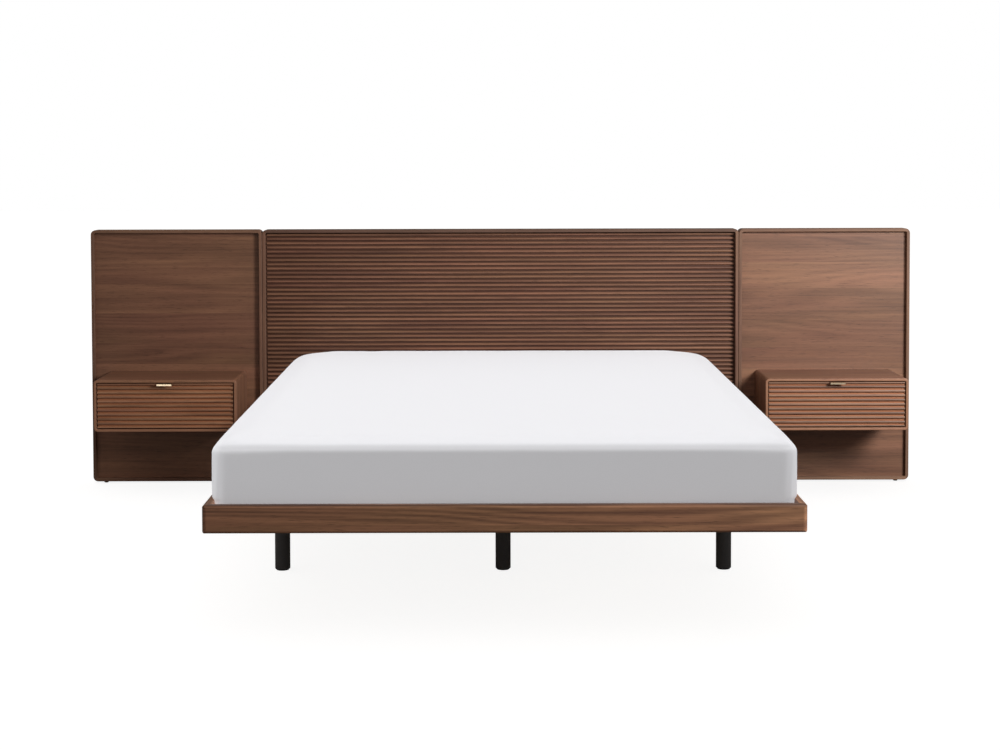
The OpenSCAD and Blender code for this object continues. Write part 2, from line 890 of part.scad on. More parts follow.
module drawer_sides(side) {
    color(plywood)
        difference() {
            for (end = [-1, 1])
                translate([side * side_x + end * (box_w - wall_t) / 2, front_back_y + wall_l / 2,
                    wall_z + wall_h / 2])
                    cube([wall_t, wall_l, wall_h], center = true);
            bottom_cut(side);
        }
}

module drawer_back(side) {
    color(plywood)
        difference() {
            translate([side * side_x - box_w / 2 + wall_t, front_back_y + wall_l - wall_t, wall_z])
                cube([box_w - 2 * wall_t, wall_t, wall_h]);
            bottom_cut(side);
        }
}

module drawer_bottom(side) {
    color(plywood)
        translate([side * side_x - box_w / 2 + wall_t - groove_in, front_back_y - groove_in, bottom_z])
            cube([box_w - 2 * (wall_t - groove_in), wall_l - wall_t + 2 * groove_in, bottom_t]);
}

// Sheet brass edge pull: a tab let into the drawer front's top edge, running forward to a turned-down lip
module pull(side) {
    r = pull_bend_r;
    color(brass)
        translate([side * side_x, front_y, pull_top])
            across(pull_w)
                polygon(concat(
                    [[pull_tab, 0]],
                    arc([-pull_reach + r, -r], r, 90, 180, 6),
                    [[-pull_reach, -pull_h], [-pull_reach + pull_t, -pull_h]],
                    arc([-pull_reach + r, -r], r - pull_t, 180, 90, 6),
                    [[pull_tab, -pull_t]]));
}

// ---- Named pieces ----

module left_panel() { side_panel(LEFT); }
module right_panel() { side_panel(RIGHT); }
module centre_rim_top() { color(walnut_edge) rim_top(0, centre_w); }
module centre_rim_bottom() { color(walnut_edge) rim_bottom(0, centre_w); }
module centre_rim_left() { color(walnut_edge) rim_upright(0, centre_w, LEFT, true); }
module centre_rim_right() { color(walnut_edge) rim_upright(0, centre_w, RIGHT, true); }
module left_rim_top() { color(walnut_edge) rim_top(-side_x, side_w); }
module left_rim_bottom() { color(walnut_edge) rim_bottom(-side_x, side_w); }
module left_rim_left() { color(walnut_edge) rim_upright(-side_x, side_w, LEFT, false); }
module left_rim_right() { color(walnut_edge) rim_upright(-side_x, side_w, RIGHT, true); }
module right_rim_top() { color(walnut_edge) rim_top(side_x, side_w); }
module right_rim_bottom() { color(walnut_edge) rim_bottom(side_x, side_w); }
module right_rim_left() { color(walnut_edge) rim_upright(side_x, side_w, LEFT, true); }
module right_rim_right() { color(walnut_edge) rim_upright(side_x, side_w, RIGHT, false); }
module left_side_rail() { side_rail(LEFT); }
module right_side_rail() { side_rail(RIGHT); }
module left_case_top() { case_top(LEFT); }
module left_case_bottom() { case_bottom(LEFT); }
module left_case_sides() { case_sides(LEFT); }
module left_case_back() { case_back(LEFT); }
module left_mounting_bolts() { mounting_bolts(LEFT); }
module left_slide_case_members() { slide_case_members(LEFT); }
module left_slide_middle_members() { slide_middle_members(LEFT); }
module left_slide_drawer_members() { slide_drawer_members(LEFT); }
module left_drawer_front() { drawer_front(LEFT); }
module left_drawer_sides() { drawer_sides(LEFT); }
module left_drawer_back() { drawer_back(LEFT); }
module left_drawer_bottom() { drawer_bottom(LEFT); }
module left_pull() { pull(LEFT); }
module right_case_top() { case_top(RIGHT); }
module right_case_bottom() { case_bottom(RIGHT); }
module right_case_sides() { case_sides(RIGHT); }
module right_case_back() { case_back(RIGHT); }
module right_mounting_bolts() { mounting_bolts(RIGHT); }
module right_slide_case_members() { slide_case_members(RIGHT); }
module right_slide_middle_members() { slide_middle_members(RIGHT); }
module right_slide_drawer_members() { slide_drawer_members(RIGHT); }
module right_drawer_front() { drawer_front(RIGHT); }
module right_drawer_sides() { drawer_sides(RIGHT); }
module right_drawer_back() { drawer_back(RIGHT); }
module right_drawer_bottom() { drawer_bottom(RIGHT); }
module right_pull() { pull(RIGHT); }

centre_reeded_panel();
left_panel();
right_panel();
centre_rim_top();
centre_rim_bottom();
centre_rim_left();
centre_rim_right();
left_rim_top();
left_rim_bottom();
left_rim_left();
left_rim_right();
right_rim_top();
right_rim_bottom();
right_rim_left();
right_rim_right();
headboard_battens();
panel_connectors();
levelling_feet();
left_side_rail();
right_side_rail();
foot_rail();
head_rail();
side_ledgers();
centre_beam();
cross_beams();
slats();
corner_brackets();
bed_bolts();
front_legs();
rear_legs();
leg_plates();
leg_glides();
mattress();
left_case_top();
left_case_bottom();
left_case_sides();
left_case_back();
left_mounting_bolts();
left_slide_case_members();
left_slide_middle_members();
left_slide_drawer_members();
left_drawer_front();
left_drawer_sides();
left_drawer_back();
left_drawer_bottom();
left_pull();
right_case_top();
right_case_bottom();
right_case_sides();
right_case_back();
right_mounting_bolts();
right_slide_case_members();
right_slide_middle_members();
right_slide_drawer_members();
right_drawer_front();
right_drawer_sides();
right_drawer_back();
right_drawer_bottom();
right_pull();
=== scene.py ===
"""Looks of the bed with attached nightstands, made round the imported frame."""
import json
import math

import bpy
import numpy as np
from bpy.props import FloatProperty, FloatVectorProperty, PointerProperty
from mathutils import Matrix, Vector

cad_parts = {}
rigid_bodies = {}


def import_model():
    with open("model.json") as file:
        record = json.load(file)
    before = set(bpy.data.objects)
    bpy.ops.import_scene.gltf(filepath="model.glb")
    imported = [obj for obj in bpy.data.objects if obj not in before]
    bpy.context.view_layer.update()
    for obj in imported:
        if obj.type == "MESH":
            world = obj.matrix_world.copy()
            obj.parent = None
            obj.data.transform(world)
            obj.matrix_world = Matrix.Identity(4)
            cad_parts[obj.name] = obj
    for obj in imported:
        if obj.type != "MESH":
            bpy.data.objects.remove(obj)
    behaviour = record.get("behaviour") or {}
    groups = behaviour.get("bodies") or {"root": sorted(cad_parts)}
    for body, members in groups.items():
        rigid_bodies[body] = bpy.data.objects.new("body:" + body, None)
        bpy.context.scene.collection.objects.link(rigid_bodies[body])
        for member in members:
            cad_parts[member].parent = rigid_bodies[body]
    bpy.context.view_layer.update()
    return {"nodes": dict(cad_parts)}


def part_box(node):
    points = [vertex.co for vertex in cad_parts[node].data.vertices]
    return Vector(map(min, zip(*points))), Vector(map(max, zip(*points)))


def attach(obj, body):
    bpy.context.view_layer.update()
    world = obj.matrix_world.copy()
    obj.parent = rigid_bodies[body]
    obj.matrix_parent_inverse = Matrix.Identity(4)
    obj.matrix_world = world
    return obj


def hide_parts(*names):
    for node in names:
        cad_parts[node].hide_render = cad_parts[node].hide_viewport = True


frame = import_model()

bl_info = {
    "name": "Bed with Attached Nightstands",
    "version": (1, 0, 0),
    "blender": (4, 5, 0),
    "location": "3D View > Sidebar > Bed",
    "description": "Walnut, bedding, small fasteners and studio for a bed with two attached nightstands",
    "category": "Object",
}

NODES = frame["nodes"]
SIDES = ("left", "right")


def linear(code):
    """Linear colour with alpha from an sRGB hex code. Each channel c becomes c / 12.92 at the dark end, else
    ((c + 0.055) / 1.055) ^ 2.4."""
    srgb = np.array([int(code[i:i + 2], 16) / 255 for i in (1, 3, 5)])
    lin = np.where(srgb <= 0.04045, srgb / 12.92, ((srgb + 0.055) / 1.055) ** 2.4)
    return (*lin.tolist(), 1.0)


# ---- Settings ----

class BedWoodSettings(bpy.types.PropertyGroup):
    """Tones and figure of the walnut and the plywood"""
    dark: FloatVectorProperty(name="Dark grain", description="Tone of the late wood and the dark streaks",
                              subtype="COLOR", size=4, min=0, max=1, default=linear("#4b2e21"))
    light: FloatVectorProperty(name="Light grain", description="Tone of the early wood",
                               subtype="COLOR", size=4, min=0, max=1, default=linear("#8c5f47"))
    edge: FloatVectorProperty(name="Edging", description="Light tone of the solid edging of the rims",
                              subtype="COLOR", size=4, min=0, max=1, default=linear("#7d5842"))
    rail: FloatVectorProperty(name="Rails", description="Light tone of the rails",
                              subtype="COLOR", size=4, min=0, max=1, default=linear("#9a6a4d"))
    # Lit and shaded copies of one walnut: the left drawer front is painted lighter and the right one darker,
    # for the key light's fall-off from right to left
    left_front_lightened: FloatVectorProperty(name="Left drawer front", description="Light tone of its reeds",
                                    subtype="COLOR", size=4, min=0, max=1, default=linear("#ae7a5a"))
    right_front_darkened: FloatVectorProperty(name="Right drawer front", description="Light tone of its reeds",
                                     subtype="COLOR", size=4, min=0, max=1, default=linear("#926a53"))
    pore: FloatVectorProperty(name="Pores", description="Tone of the open pores",
                              subtype="COLOR", size=4, min=0, max=1, default=linear("#2c1a12"))
    # Painted shade: the headboard's grooves are darkened with this tone towards their bottom, where their
    # shade falls
    groove_shade: FloatVectorProperty(name="Grooves", description="Tone of the oil at the bottom of the grooves",
                                subtype="COLOR", size=4, min=0, max=1, default=linear("#3c1c0f"))
    # Painted light: the drawers' grooves are lightened with this tone towards their bottom, in place of the
    # light that reaches into them
    drawer_groove_light: FloatVectorProperty(name="Drawer grooves",
                                      description="Tone of the sawn wood in the drawers' grooves",
                                      subtype="COLOR", size=4, min=0, max=1, default=linear("#b06c46"))
    level_edge: FloatVectorProperty(name="Side rims", description="Light tone of their level members",
                                    subtype="COLOR", size=4, min=0, max=1, default=linear("#845d47"))
    centre_edge: FloatVectorProperty(name="Middle rim", description="Light tone of its level members",
                                     subtype="COLOR", size=4, min=0, max=1, default=linear("#5e4233"))
    plank: FloatProperty(name="Veneer leaf", description="Mean height of a leaf of veneer on a board",
                         unit="LENGTH", default=0.1, min=0.03, max=0.4)
    birch_light: FloatVectorProperty(name="Birch face", description="Light plies of the plywood",
                                     subtype="COLOR", size=4, min=0, max=1, default=linear("#d9c3a0"))
    birch_dark: FloatVectorProperty(name="Birch end grain", description="Dark plies of the plywood",
                                    subtype="COLOR", size=4, min=0, max=1, default=linear("#a78459"))


class BedSheetSettings(bpy.types.PropertyGroup):
    """Mattress and fitted sheet"""
    cotton: FloatVectorProperty(name="Sheet", description="Colour of the cotton sheet",
                                subtype="COLOR", size=4, min=0, max=1, default=linear("#e8e9ee"))
    ticking: FloatVectorProperty(name="Ticking", description="Colour of the mattress cover",
                                 subtype="COLOR", size=4, min=0, max=1, default=linear("#d6d3cb"))
    roll: FloatProperty(name="Edge radius", description="Radius of the mattress's rolled edges",
                        unit="LENGTH", default=0.015, min=0.01, max=0.04)
    swell: FloatProperty(name="Swell", description="Most that the filling pushes the cover out",
                         unit="LENGTH", default=0.005, min=0, max=0.012)
    overhang: FloatProperty(name="Overhang", description="How far the sides stand out above the rails",
                            unit="LENGTH", default=0.007, min=0, max=0.015)
    cloth: FloatProperty(name="Sheet thickness", description="Thickness of the sheet with its seams",
                         unit="LENGTH", default=0.0006, min=0.0003, max=0.002)
    tuck: FloatProperty(name="Tuck", description="How far the sheet turns in under the mattress",
                        unit="LENGTH", default=0.09, min=0.03, max=0.2)
    gather: FloatProperty(name="Gathers", description="Height of the small folds at the corners",
                          unit="LENGTH", default=0.0012, min=0, max=0.004)


class BedMetalSettings(bpy.types.PropertyGroup):
    """Legs, pulls and fittings"""
    brass: FloatVectorProperty(name="Brass", description="Colour of the brushed pulls",
                               subtype="COLOR", size=4, min=0, max=1, default=linear("#f1dcbb"))
    zinc: FloatVectorProperty(name="Zinc", description="Colour of the plated fittings",
                              subtype="COLOR", size=4, min=0, max=1, default=linear("#b9bcc0"))
    coat: FloatVectorProperty(name="Powder coat", description="Colour of the legs",
                              subtype="COLOR", size=4, min=0, max=1, default=linear("#444243"))
    nylon: FloatVectorProperty(name="Nylon", description="Colour of the glides",
                               subtype="COLOR", size=4, min=0, max=1, default=linear("#151515"))
    screw: FloatProperty(name="Screw head", description="Diameter of the screw heads",
                         unit="LENGTH", default=0.008, min=0.004, max=0.014)


class BedStudioSettings(bpy.types.PropertyGroup):
    """Floor, lights and camera"""
    floor: FloatVectorProperty(name="Floor", description="Colour of the studio floor",
                               subtype="COLOR", size=4, min=0, max=1, default=linear("#b0b0b0"))
    glow: FloatProperty(name="Floor glow",
                        description="Light that the camera sees coming up through the floor",
                        default=0.88, min=0, max=2)
    key: FloatProperty(name="Key light", description="Power of the soft light at the right", unit="POWER",
                       default=240, min=0, max=2000)
    sky: FloatProperty(name="Ambient light", description="Strength of the even light from all round",
                       default=0.41, min=0, max=3)
    warm: FloatVectorProperty(name="Ambient colour", description="Colour of the light from the room's walls",
                              subtype="COLOR", size=4, min=0, max=1, default=(1.0, 0.965, 0.925, 1.0))
    cool: FloatVectorProperty(name="Key colour", description="Colour of the soft light at the right",
                              subtype="COLOR", size=3, min=0, max=1, default=(0.88, 0.97, 1.0))
    top: FloatProperty(name="Top light", description="Strength of the overhead light on the bedding",
                       default=1.68, min=0, max=10)
    front: FloatProperty(name="Front light",
                         description="Strength of the low light at the foot on the bedding",
                         default=0.23, min=0, max=10)
    fill: FloatProperty(name="Side lights", description="Strength of the two low lights beside the bedding",
                        default=1.5, min=0, max=10)
    card: FloatProperty(name="Card", description="Strength of the white card that the pulls reflect",
                        default=1.3, min=0, max=10)
    lens: FloatProperty(name="Lens", description="Focal length on a 36 mm sensor, in millimetres",
                        default=60.37, min=20, max=200)


# ---- Nodes and meshes ----

def add(tree, kind, inputs, **settings):
    """Adds one shader node, with its settings, and sets or links its inputs by name or number."""
    made = tree.nodes.new("ShaderNode" + kind)
    for name, value in settings.items():
        setattr(made, name, value)
    for key, value in inputs.items():
        if isinstance(value, bpy.types.NodeSocket):
            tree.links.new(value, made.inputs[key])
        else:
            made.inputs[key].default_value = value
    return made


def new_finish(name, **uniform):
    """A material whose shader has these uniform values. Gives the material, its node tree and its shader."""
    made = bpy.data.materials.new(name)
    made.use_nodes = True
    shader = made.node_tree.nodes["Principled BSDF"]
    for key, value in uniform.items():
        shader.inputs[key.replace("_", " ")].default_value = value
    return made, made.node_tree, shader


def dress(material, *names):
    """Gives a material to CAD nodes."""
    for name in names:
        slots = NODES[name].data.materials
        slots.clear()
        slots.append(material)


def new_piece(name, points, faces, body, material, stands_for=()):
    """A mesh piece at the origin from whole arrays of points and of faces, riding on a body."""
    mesh = bpy.data.meshes.new(name)
    mesh.from_pydata(points.reshape(-1, 3).tolist(), [], faces.tolist())
    mesh.validate()
    mesh.materials.append(material)
    mesh.shade_smooth()
    made = bpy.data.objects.new(name, mesh)
    bpy.context.scene.collection.objects.link(made)
    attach(made, body)
    if stands_for:
        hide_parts(*stands_for)
    return made


def grid_faces(rows, columns, closed=False):
    """Quads of a grid of points: each joins (r, c), (r, c + 1), (r + 1, c + 1) and (r + 1, c)."""
    r, c = np.meshgrid(np.arange(rows - 1), np.arange(columns if closed else columns - 1), indexing="ij")
    n = (c + 1) % columns
    near, far = r * columns, (r + 1) * columns
    return np.stack([near + c, near + n, far + n, far + c], -1).reshape(-1, 4)


# ---- Materials ----

# Each row says which object axis becomes: along the grain, across it, through the board
GRAIN = {
    "across": ((1, 0, 0), (0, 0, 1), (0, -1, 0)),
    "upright": ((0, 0, 1), (1, 0, 0), (0, 1, 0)),
    "deep": ((0, 1, 0), (0, 0, 1), (1, 0, 0)),
    "flat": ((1, 0, 0), (0, 1, 0), (0, 0, 1)),
}
# Noises of the walnut: changes per metre along the grain, across it and through the board
SWELLS = (0.8, 8.0, 8.0)         # of the figure, 1.25 m long and 125 mm wide
BANDS = (1.6, 24.0, 24.0)        # 620 mm long and 42 mm wide
STREAKS = (2.6, 190.0, 190.0)    # 380 mm long and 5 mm wide
PORES = (26.0, 620.0, 620.0)     # 38 mm long and 1.6 mm wide, ten times too coarse so that they show
HUES = (1.9, 9.0, 9.0)           # patches 530 mm long and 110 mm wide
LEAF_SHIFT = (5.3, 0.9, 0.4)     # metres between the figures of two leaves, at most
ARCHES = 190.0                   # turn of the figure's sine in radians per metre of height: 33 mm to an arch
ARCH_SWAY = 64.0                 # radians by which the swells move an arch
GROOVE_PAINT_DEPTHS = (0.0012, 0.006)    # depths between which the grooves take their painted shading tone
PAINTED_STRIP_WIDTH = 0.003                # width of the painted strips: a shadow on the rails' top and a highlight on the cases' front edges


def walnut(name, grain, seed, leaf, ragged=0.7, tint=0.40, start=0.0, light=None, gloss=0.44,
           figure=0.075, contrast=1.0, painted_strip=None, grooves=None):
    """Black walnut, sliced as veneer or sawn as edging, under a satin lacquer. The eye gets soft cathedral
    figure a hand wide, leaves of slightly different tone, fine dark pores and a low sheen along the grain.
    Figure: sine of a slow stretched noise plus the height, so that its contours close into long arches.
    A painted strip is an edge painted darker for a painted shadow, or lighter for a painted highlight: its
    object axis, which side of a place on it, and the change.
    Grooves have the height of the front they are cut in, along Y, the tone painted in them for their shading,
    and the share it takes."""
    wood = bpy.context.scene.bed_wood
    made, tree, shader = new_finish(name, Roughness=gloss, IOR=1.45, Specular_IOR_Level=0.4)
    place = add(tree, "TexCoord", {}).outputs["Object"]
    turned = add(tree, "Mapping", {"Vector": place, "Rotation": Matrix(GRAIN[grain]).to_euler(),
                                   "Location": (0.37 * seed, -start, 0.11 * seed)}).outputs[0]
    height = add(tree, "SeparateXYZ", {0: turned}).outputs["Y"]
    cell = add(tree, "TexVoronoi", {"W": height, "Scale": 1 / leaf, "Randomness": ragged},
               voronoi_dimensions="1D").outputs["Color"]
    own = add(tree, "VectorMath", {0: cell, 1: LEAF_SHIFT, 2: turned}, operation="MULTIPLY_ADD").outputs[0]
    slow = add(tree, "VectorMath", {0: own, 1: SWELLS}, operation="MULTIPLY").outputs[0]
    swell = add(tree, "TexNoise", {"Vector": slow, "Scale": 1.0, "Detail": 1.5, "Roughness": 0.4}).outputs[0]
    rise = add(tree, "SeparateXYZ", {0: own}).outputs["Y"]
    phase = add(tree, "Math", {0: rise, 1: ARCHES}, operation="MULTIPLY").outputs[0]
    phase = add(tree, "Math", {0: swell, 1: ARCH_SWAY, 2: phase}, operation="MULTIPLY_ADD").outputs[0]
    rings = add(tree, "Math", {0: phase}, operation="SINE").outputs[0]
    streaky = add(tree, "VectorMath", {0: own, 1: STREAKS}, operation="MULTIPLY").outputs[0]
    streaks = add(tree, "TexNoise", {"Vector": streaky, "Scale": 1.0, "Detail": 3.0,
                                     "Roughness": 0.6}).outputs[0]
    wide = add(tree, "VectorMath", {0: own, 1: BANDS}, operation="MULTIPLY").outputs[0]
    broad = add(tree, "TexNoise", {"Vector": wide, "Scale": 1.0, "Detail": 2.0, "Roughness": 0.5}).outputs[0]
    shade = add(tree, "SeparateColor", {0: cell}).outputs[0]
    # Each part swings evenly round 0.5: the noises by their distance from 0.5, the leaf's tone by its own
    fine, coarse = 0.75 * contrast, 0.85 * contrast
    level = 0.5 - 0.5 * (fine + coarse + tint)
    tone = add(tree, "Math", {0: rings, 1: figure, 2: level}, operation="MULTIPLY_ADD").outputs[0]
    tone = add(tree, "Math", {0: streaks, 1: fine, 2: tone}, operation="MULTIPLY_ADD").outputs[0]
    tone = add(tree, "Math", {0: broad, 1: coarse, 2: tone}, operation="MULTIPLY_ADD").outputs[0]
    tone = add(tree, "Math", {0: shade, 1: tint, 2: tone}, operation="MULTIPLY_ADD",
               use_clamp=True).outputs[0]
    if painted_strip is not None:
        axis, where, edge, change = painted_strip
        way = add(tree, "SeparateXYZ", {0: place}).outputs[axis]
        inside = add(tree, "Math", {0: way, 1: edge}, operation=where).outputs[0]
        tone = add(tree, "Math", {0: inside, 1: change, 2: tone}, operation="MULTIPLY_ADD",
                   use_clamp=True).outputs[0]
    ground = add(tree, "Mix", {0: tone, 6: wood.dark, 7: light or wood.light}, data_type="RGBA").outputs[2]
    cast = add(tree, "VectorMath", {0: own, 1: HUES}, operation="MULTIPLY").outputs[0]
    cast = add(tree, "TexNoise", {"Vector": cast, "Scale": 1.0, "Detail": 1.0}).outputs[0]
    cast = add(tree, "MapRange", {0: cast, 1: 0.25, 2: 0.75, 3: 0.495, 4: 0.505}).outputs[0]
    ground = add(tree, "HueSaturation", {"Hue": cast, "Color": ground}).outputs[0]
    dashes = add(tree, "VectorMath", {0: own, 1: PORES}, operation="MULTIPLY").outputs[0]
    pores = add(tree, "TexNoise", {"Vector": dashes, "Scale": 1.0, "Detail": 1.0}).outputs[0]
    pores = add(tree, "MapRange", {0: pores, 1: 0.60, 2: 0.74, 3: 0.0, 4: 0.55}).outputs[0]
    colour = add(tree, "Mix", {0: pores, 6: ground, 7: wood.pore}, data_type="RGBA").outputs[2]
    if grooves is not None:
        # Painted shading: they take more of the given tone towards their bottom, a painted shade in the
        # headboard and a painted light in the drawers
        front, tone, share = grooves
        inward = add(tree, "SeparateXYZ", {0: place}).outputs["Y"]
        from_here, to_here = (front + depth for depth in GROOVE_PAINT_DEPTHS)
        sunk = add(tree, "MapRange", {0: inward, 1: from_here, 2: to_here, 3: 0.0, 4: share}).outputs[0]
        colour = add(tree, "Mix", {0: sunk, 6: colour, 7: tone}, data_type="RGBA").outputs[2]
    tree.links.new(colour, shader.inputs["Base Color"])
    rough = add(tree, "MapRange", {0: streaks, 1: 0.25, 2: 0.75, 3: gloss + 0.07, 4: gloss - 0.05}).outputs[0]
    tree.links.new(rough, shader.inputs["Roughness"])
    relief = add(tree, "Math", {0: streaks, 1: pores}, operation="SUBTRACT").outputs[0]
    bump = add(tree, "Bump", {"Height": relief, "Strength": 0.25, "Distance": 0.0004}).outputs[0]
    tree.links.new(bump, shader.inputs["Normal"])
    return made


TWO_PLIES = 0.003    # a dark and a light ply of the plywood
THREAD = 0.0015      # from one drawn thread of the sheet to the next
DOT = 0.012          # from one raised dot of the ticking to the next


def birch_plywood(name, through):
    """Birch plywood under clear lacquer, pale, with its dark and light plies showing on every edge.
    Plies: a square wave of the distance through the board, 1.5 mm to a ply; faces: long faint streaks."""
    wood = bpy.context.scene.bed_wood
    made, tree, shader = new_finish(name, Roughness=0.5, IOR=1.45)
    place = add(tree, "TexCoord", {}).outputs["Object"]
    axes = add(tree, "SeparateXYZ", {0: place})
    wave = add(tree, "Math", {0: axes.outputs[through], 1: 2 * math.pi / TWO_PLIES},
               operation="MULTIPLY").outputs[0]
    plies = add(tree, "Math", {0: wave}, operation="SINE").outputs[0]
    plies = add(tree, "MapRange", {0: plies, 1: -0.3, 2: 0.3, 3: 0.0, 4: 0.45}).outputs[0]
    # Streaks of the face ply: a third of a metre long, 11 mm wide on the board
    stretch = {"X": (60.0, 3.0, 90.0), "Y": (3.0, 60.0, 90.0), "Z": (3.0, 90.0, 60.0)}[through]
    streaky = add(tree, "VectorMath", {0: place, 1: stretch}, operation="MULTIPLY").outputs[0]
    streaks = add(tree, "TexNoise", {"Vector": streaky, "Scale": 1.0, "Detail": 3.0}).outputs[0]
    tone = add(tree, "Math", {0: streaks, 1: 0.9, 2: plies}, operation="MULTIPLY_ADD").outputs[0]
    tone = add(tree, "MapRange", {0: tone, 1: 0.25, 2: 1.1}).outputs[0]
    colour = add(tree, "Mix", {0: tone, 6: wood.birch_light, 7: wood.birch_dark}, data_type="RGBA").outputs[2]
    tree.links.new(colour, shader.inputs["Base Color"])
    bump = add(tree, "Bump", {"Height": streaks, "Strength": 0.2, "Distance": 0.0003}).outputs[0]
    tree.links.new(bump, shader.inputs["Normal"])
    return made


def cotton_percale(name, colour):
    """Woven cotton percale, plain weave of 0.3 mm threads. The eye gets a matt white with a soft edge sheen;
    the weave is drawn five times too coarse, 1.5 mm to a thread, so that it just shows in a close view.
    Weave: product of two sines over the cloth's own flat map, one for the warp and one for the weft."""
    made, tree, shader = new_finish(name, Roughness=0.88, IOR=1.45, Sheen_Weight=0.15, Sheen_Roughness=0.5,
                                    Specular_IOR_Level=0.25)
    flat = add(tree, "UVMap", {}, uv_map="cloth").outputs[0]
    threads = add(tree, "VectorMath", {0: flat, 1: (2 * math.pi / THREAD,) * 3},
                  operation="MULTIPLY").outputs[0]
    both = add(tree, "VectorMath", {0: threads}, operation="SINE").outputs[0]
    parts = add(tree, "SeparateXYZ", {0: both})
    weave = add(tree, "Math", {0: parts.outputs["X"], 1: parts.outputs["Y"]}, operation="MULTIPLY").outputs[0]
    slubs = add(tree, "TexNoise", {"Vector": flat, "Scale": 420.0, "Detail": 2.0}).outputs[0]
    tone = add(tree, "Math", {0: weave, 1: 0.12, 2: slubs}, operation="MULTIPLY_ADD").outputs[0]
    tone = add(tree, "MapRange", {0: tone, 1: 0.2, 2: 0.8, 3: 0.95, 4: 1.0}).outputs[0]
    shaded = add(tree, "VectorMath", {0: colour[:3], "Scale": tone}, operation="SCALE").outputs[0]
    tree.links.new(shaded, shader.inputs["Base Color"])
    height = add(tree, "Math", {0: weave, 1: 0.5, 2: slubs}, operation="MULTIPLY_ADD").outputs[0]
    bump = add(tree, "Bump", {"Height": height, "Strength": 0.25, "Distance": 0.0002}).outputs[0]
    tree.links.new(bump, shader.inputs["Normal"])
    return made


def knitted_ticking(name, colour):
    """Knitted mattress ticking: warm white, matt, with a small raised dot every 12 mm."""
    made, tree, shader = new_finish(name, Roughness=0.9, IOR=1.45, Sheen_Weight=0.2, Specular_IOR_Level=0.2)
    place = add(tree, "TexCoord", {}).outputs["Object"]
    dots = add(tree, "TexVoronoi", {"Vector": place, "Scale": 1 / DOT,
                                    "Randomness": 0.15}).outputs["Distance"]
    tone = add(tree, "MapRange", {0: dots, 1: 0.1, 2: 0.6, 3: 1.0, 4: 0.86}).outputs[0]
    shaded = add(tree, "VectorMath", {0: colour[:3], "Scale": tone}, operation="SCALE").outputs[0]
    tree.links.new(shaded, shader.inputs["Base Color"])
    bump = add(tree, "Bump", {"Height": tone, "Strength": 0.4, "Distance": 0.001}).outputs[0]
    tree.links.new(bump, shader.inputs["Normal"])
    return made


def brushed_brass(name, colour):
    """Champagne brass sheet, brushed along its length: pale gold with lines 0.3 mm wide and a broad soft
    highlight."""
    made, tree, shader = new_finish(name, Metallic=1.0, Roughness=0.34, Base_Color=colour)
    place = add(tree, "TexCoord", {}).outputs["Object"]
    streaky = add(tree, "VectorMath", {0: place, 1: (30.0, 3500.0, 3500.0)}, operation="MULTIPLY").outputs[0]
    lines = add(tree, "TexNoise", {"Vector": streaky, "Scale": 1.0, "Detail": 2.0}).outputs[0]
    rough = add(tree, "MapRange", {0: lines, 1: 0.3, 2: 0.7, 3: 0.28, 4: 0.42}).outputs[0]
    tree.links.new(rough, shader.inputs["Roughness"])
    shaded = add(tree, "MapRange", {0: lines, 1: 0.3, 2: 0.7, 3: 0.9, 4: 1.0}).outputs[0]
    tinted = add(tree, "VectorMath", {0: colour[:3], "Scale": shaded}, operation="SCALE").outputs[0]
    tree.links.new(tinted, shader.inputs["Base Color"])
    bump = add(tree, "Bump", {"Height": lines, "Strength": 0.15, "Distance": 0.0001}).outputs[0]
    tree.links.new(bump, shader.inputs["Normal"])
    return made


def zinc_plate(name, colour):
    """Bright zinc plating on pressed steel: cool grey, cloudy in patches a few millimetres across."""
    made, tree, shader = new_finish(name, Metallic=1.0, Roughness=0.34, Base_Color=colour)
    place = add(tree, "TexCoord", {}).outputs["Object"]
    clouds = add(tree, "TexNoise", {"Vector": place, "Scale": 1 / 0.008, "Detail": 4.0}).outputs[0]
    rough = add(tree, "MapRange", {0: clouds, 1: 0.3, 2: 0.7, 3: 0.26, 4: 0.46}).outputs[0]
    tree.links.new(rough, shader.inputs["Roughness"])
    shaded = add(tree, "MapRange", {0: clouds, 1: 0.3, 2: 0.7, 3: 0.82, 4: 1.0}).outputs[0]
    tinted = add(tree, "VectorMath", {0: colour[:3], "Scale": shaded}, operation="SCALE").outputs[0]
    tree.links.new(tinted, shader.inputs["Base Color"])
    return made


def powder_coat(name, colour):
    """Black polyester powder coat on steel tube: satin, with the fine orange peel that baking leaves, in
    bumps 2 mm wide."""
    made, tree, shader = new_finish(name, Roughness=0.42, IOR=1.5, Base_Color=colour)
    place = add(tree, "TexCoord", {}).outputs["Object"]
    peel = add(tree, "TexNoise", {"Vector": place, "Scale": 1 / 0.002, "Detail": 1.5}).outputs[0]
    tone = add(tree, "MapRange", {0: peel, 1: 0.3, 2: 0.7, 3: 0.85, 4: 1.1}).outputs[0]
    tinted = add(tree, "VectorMath", {0: colour[:3], "Scale": tone}, operation="SCALE").outputs[0]
    tree.links.new(tinted, shader.inputs["Base Color"])
    bump = add(tree, "Bump", {"Height": peel, "Strength": 0.2, "Distance": 0.0003}).outputs[0]
    tree.links.new(bump, shader.inputs["Normal"])
    return made


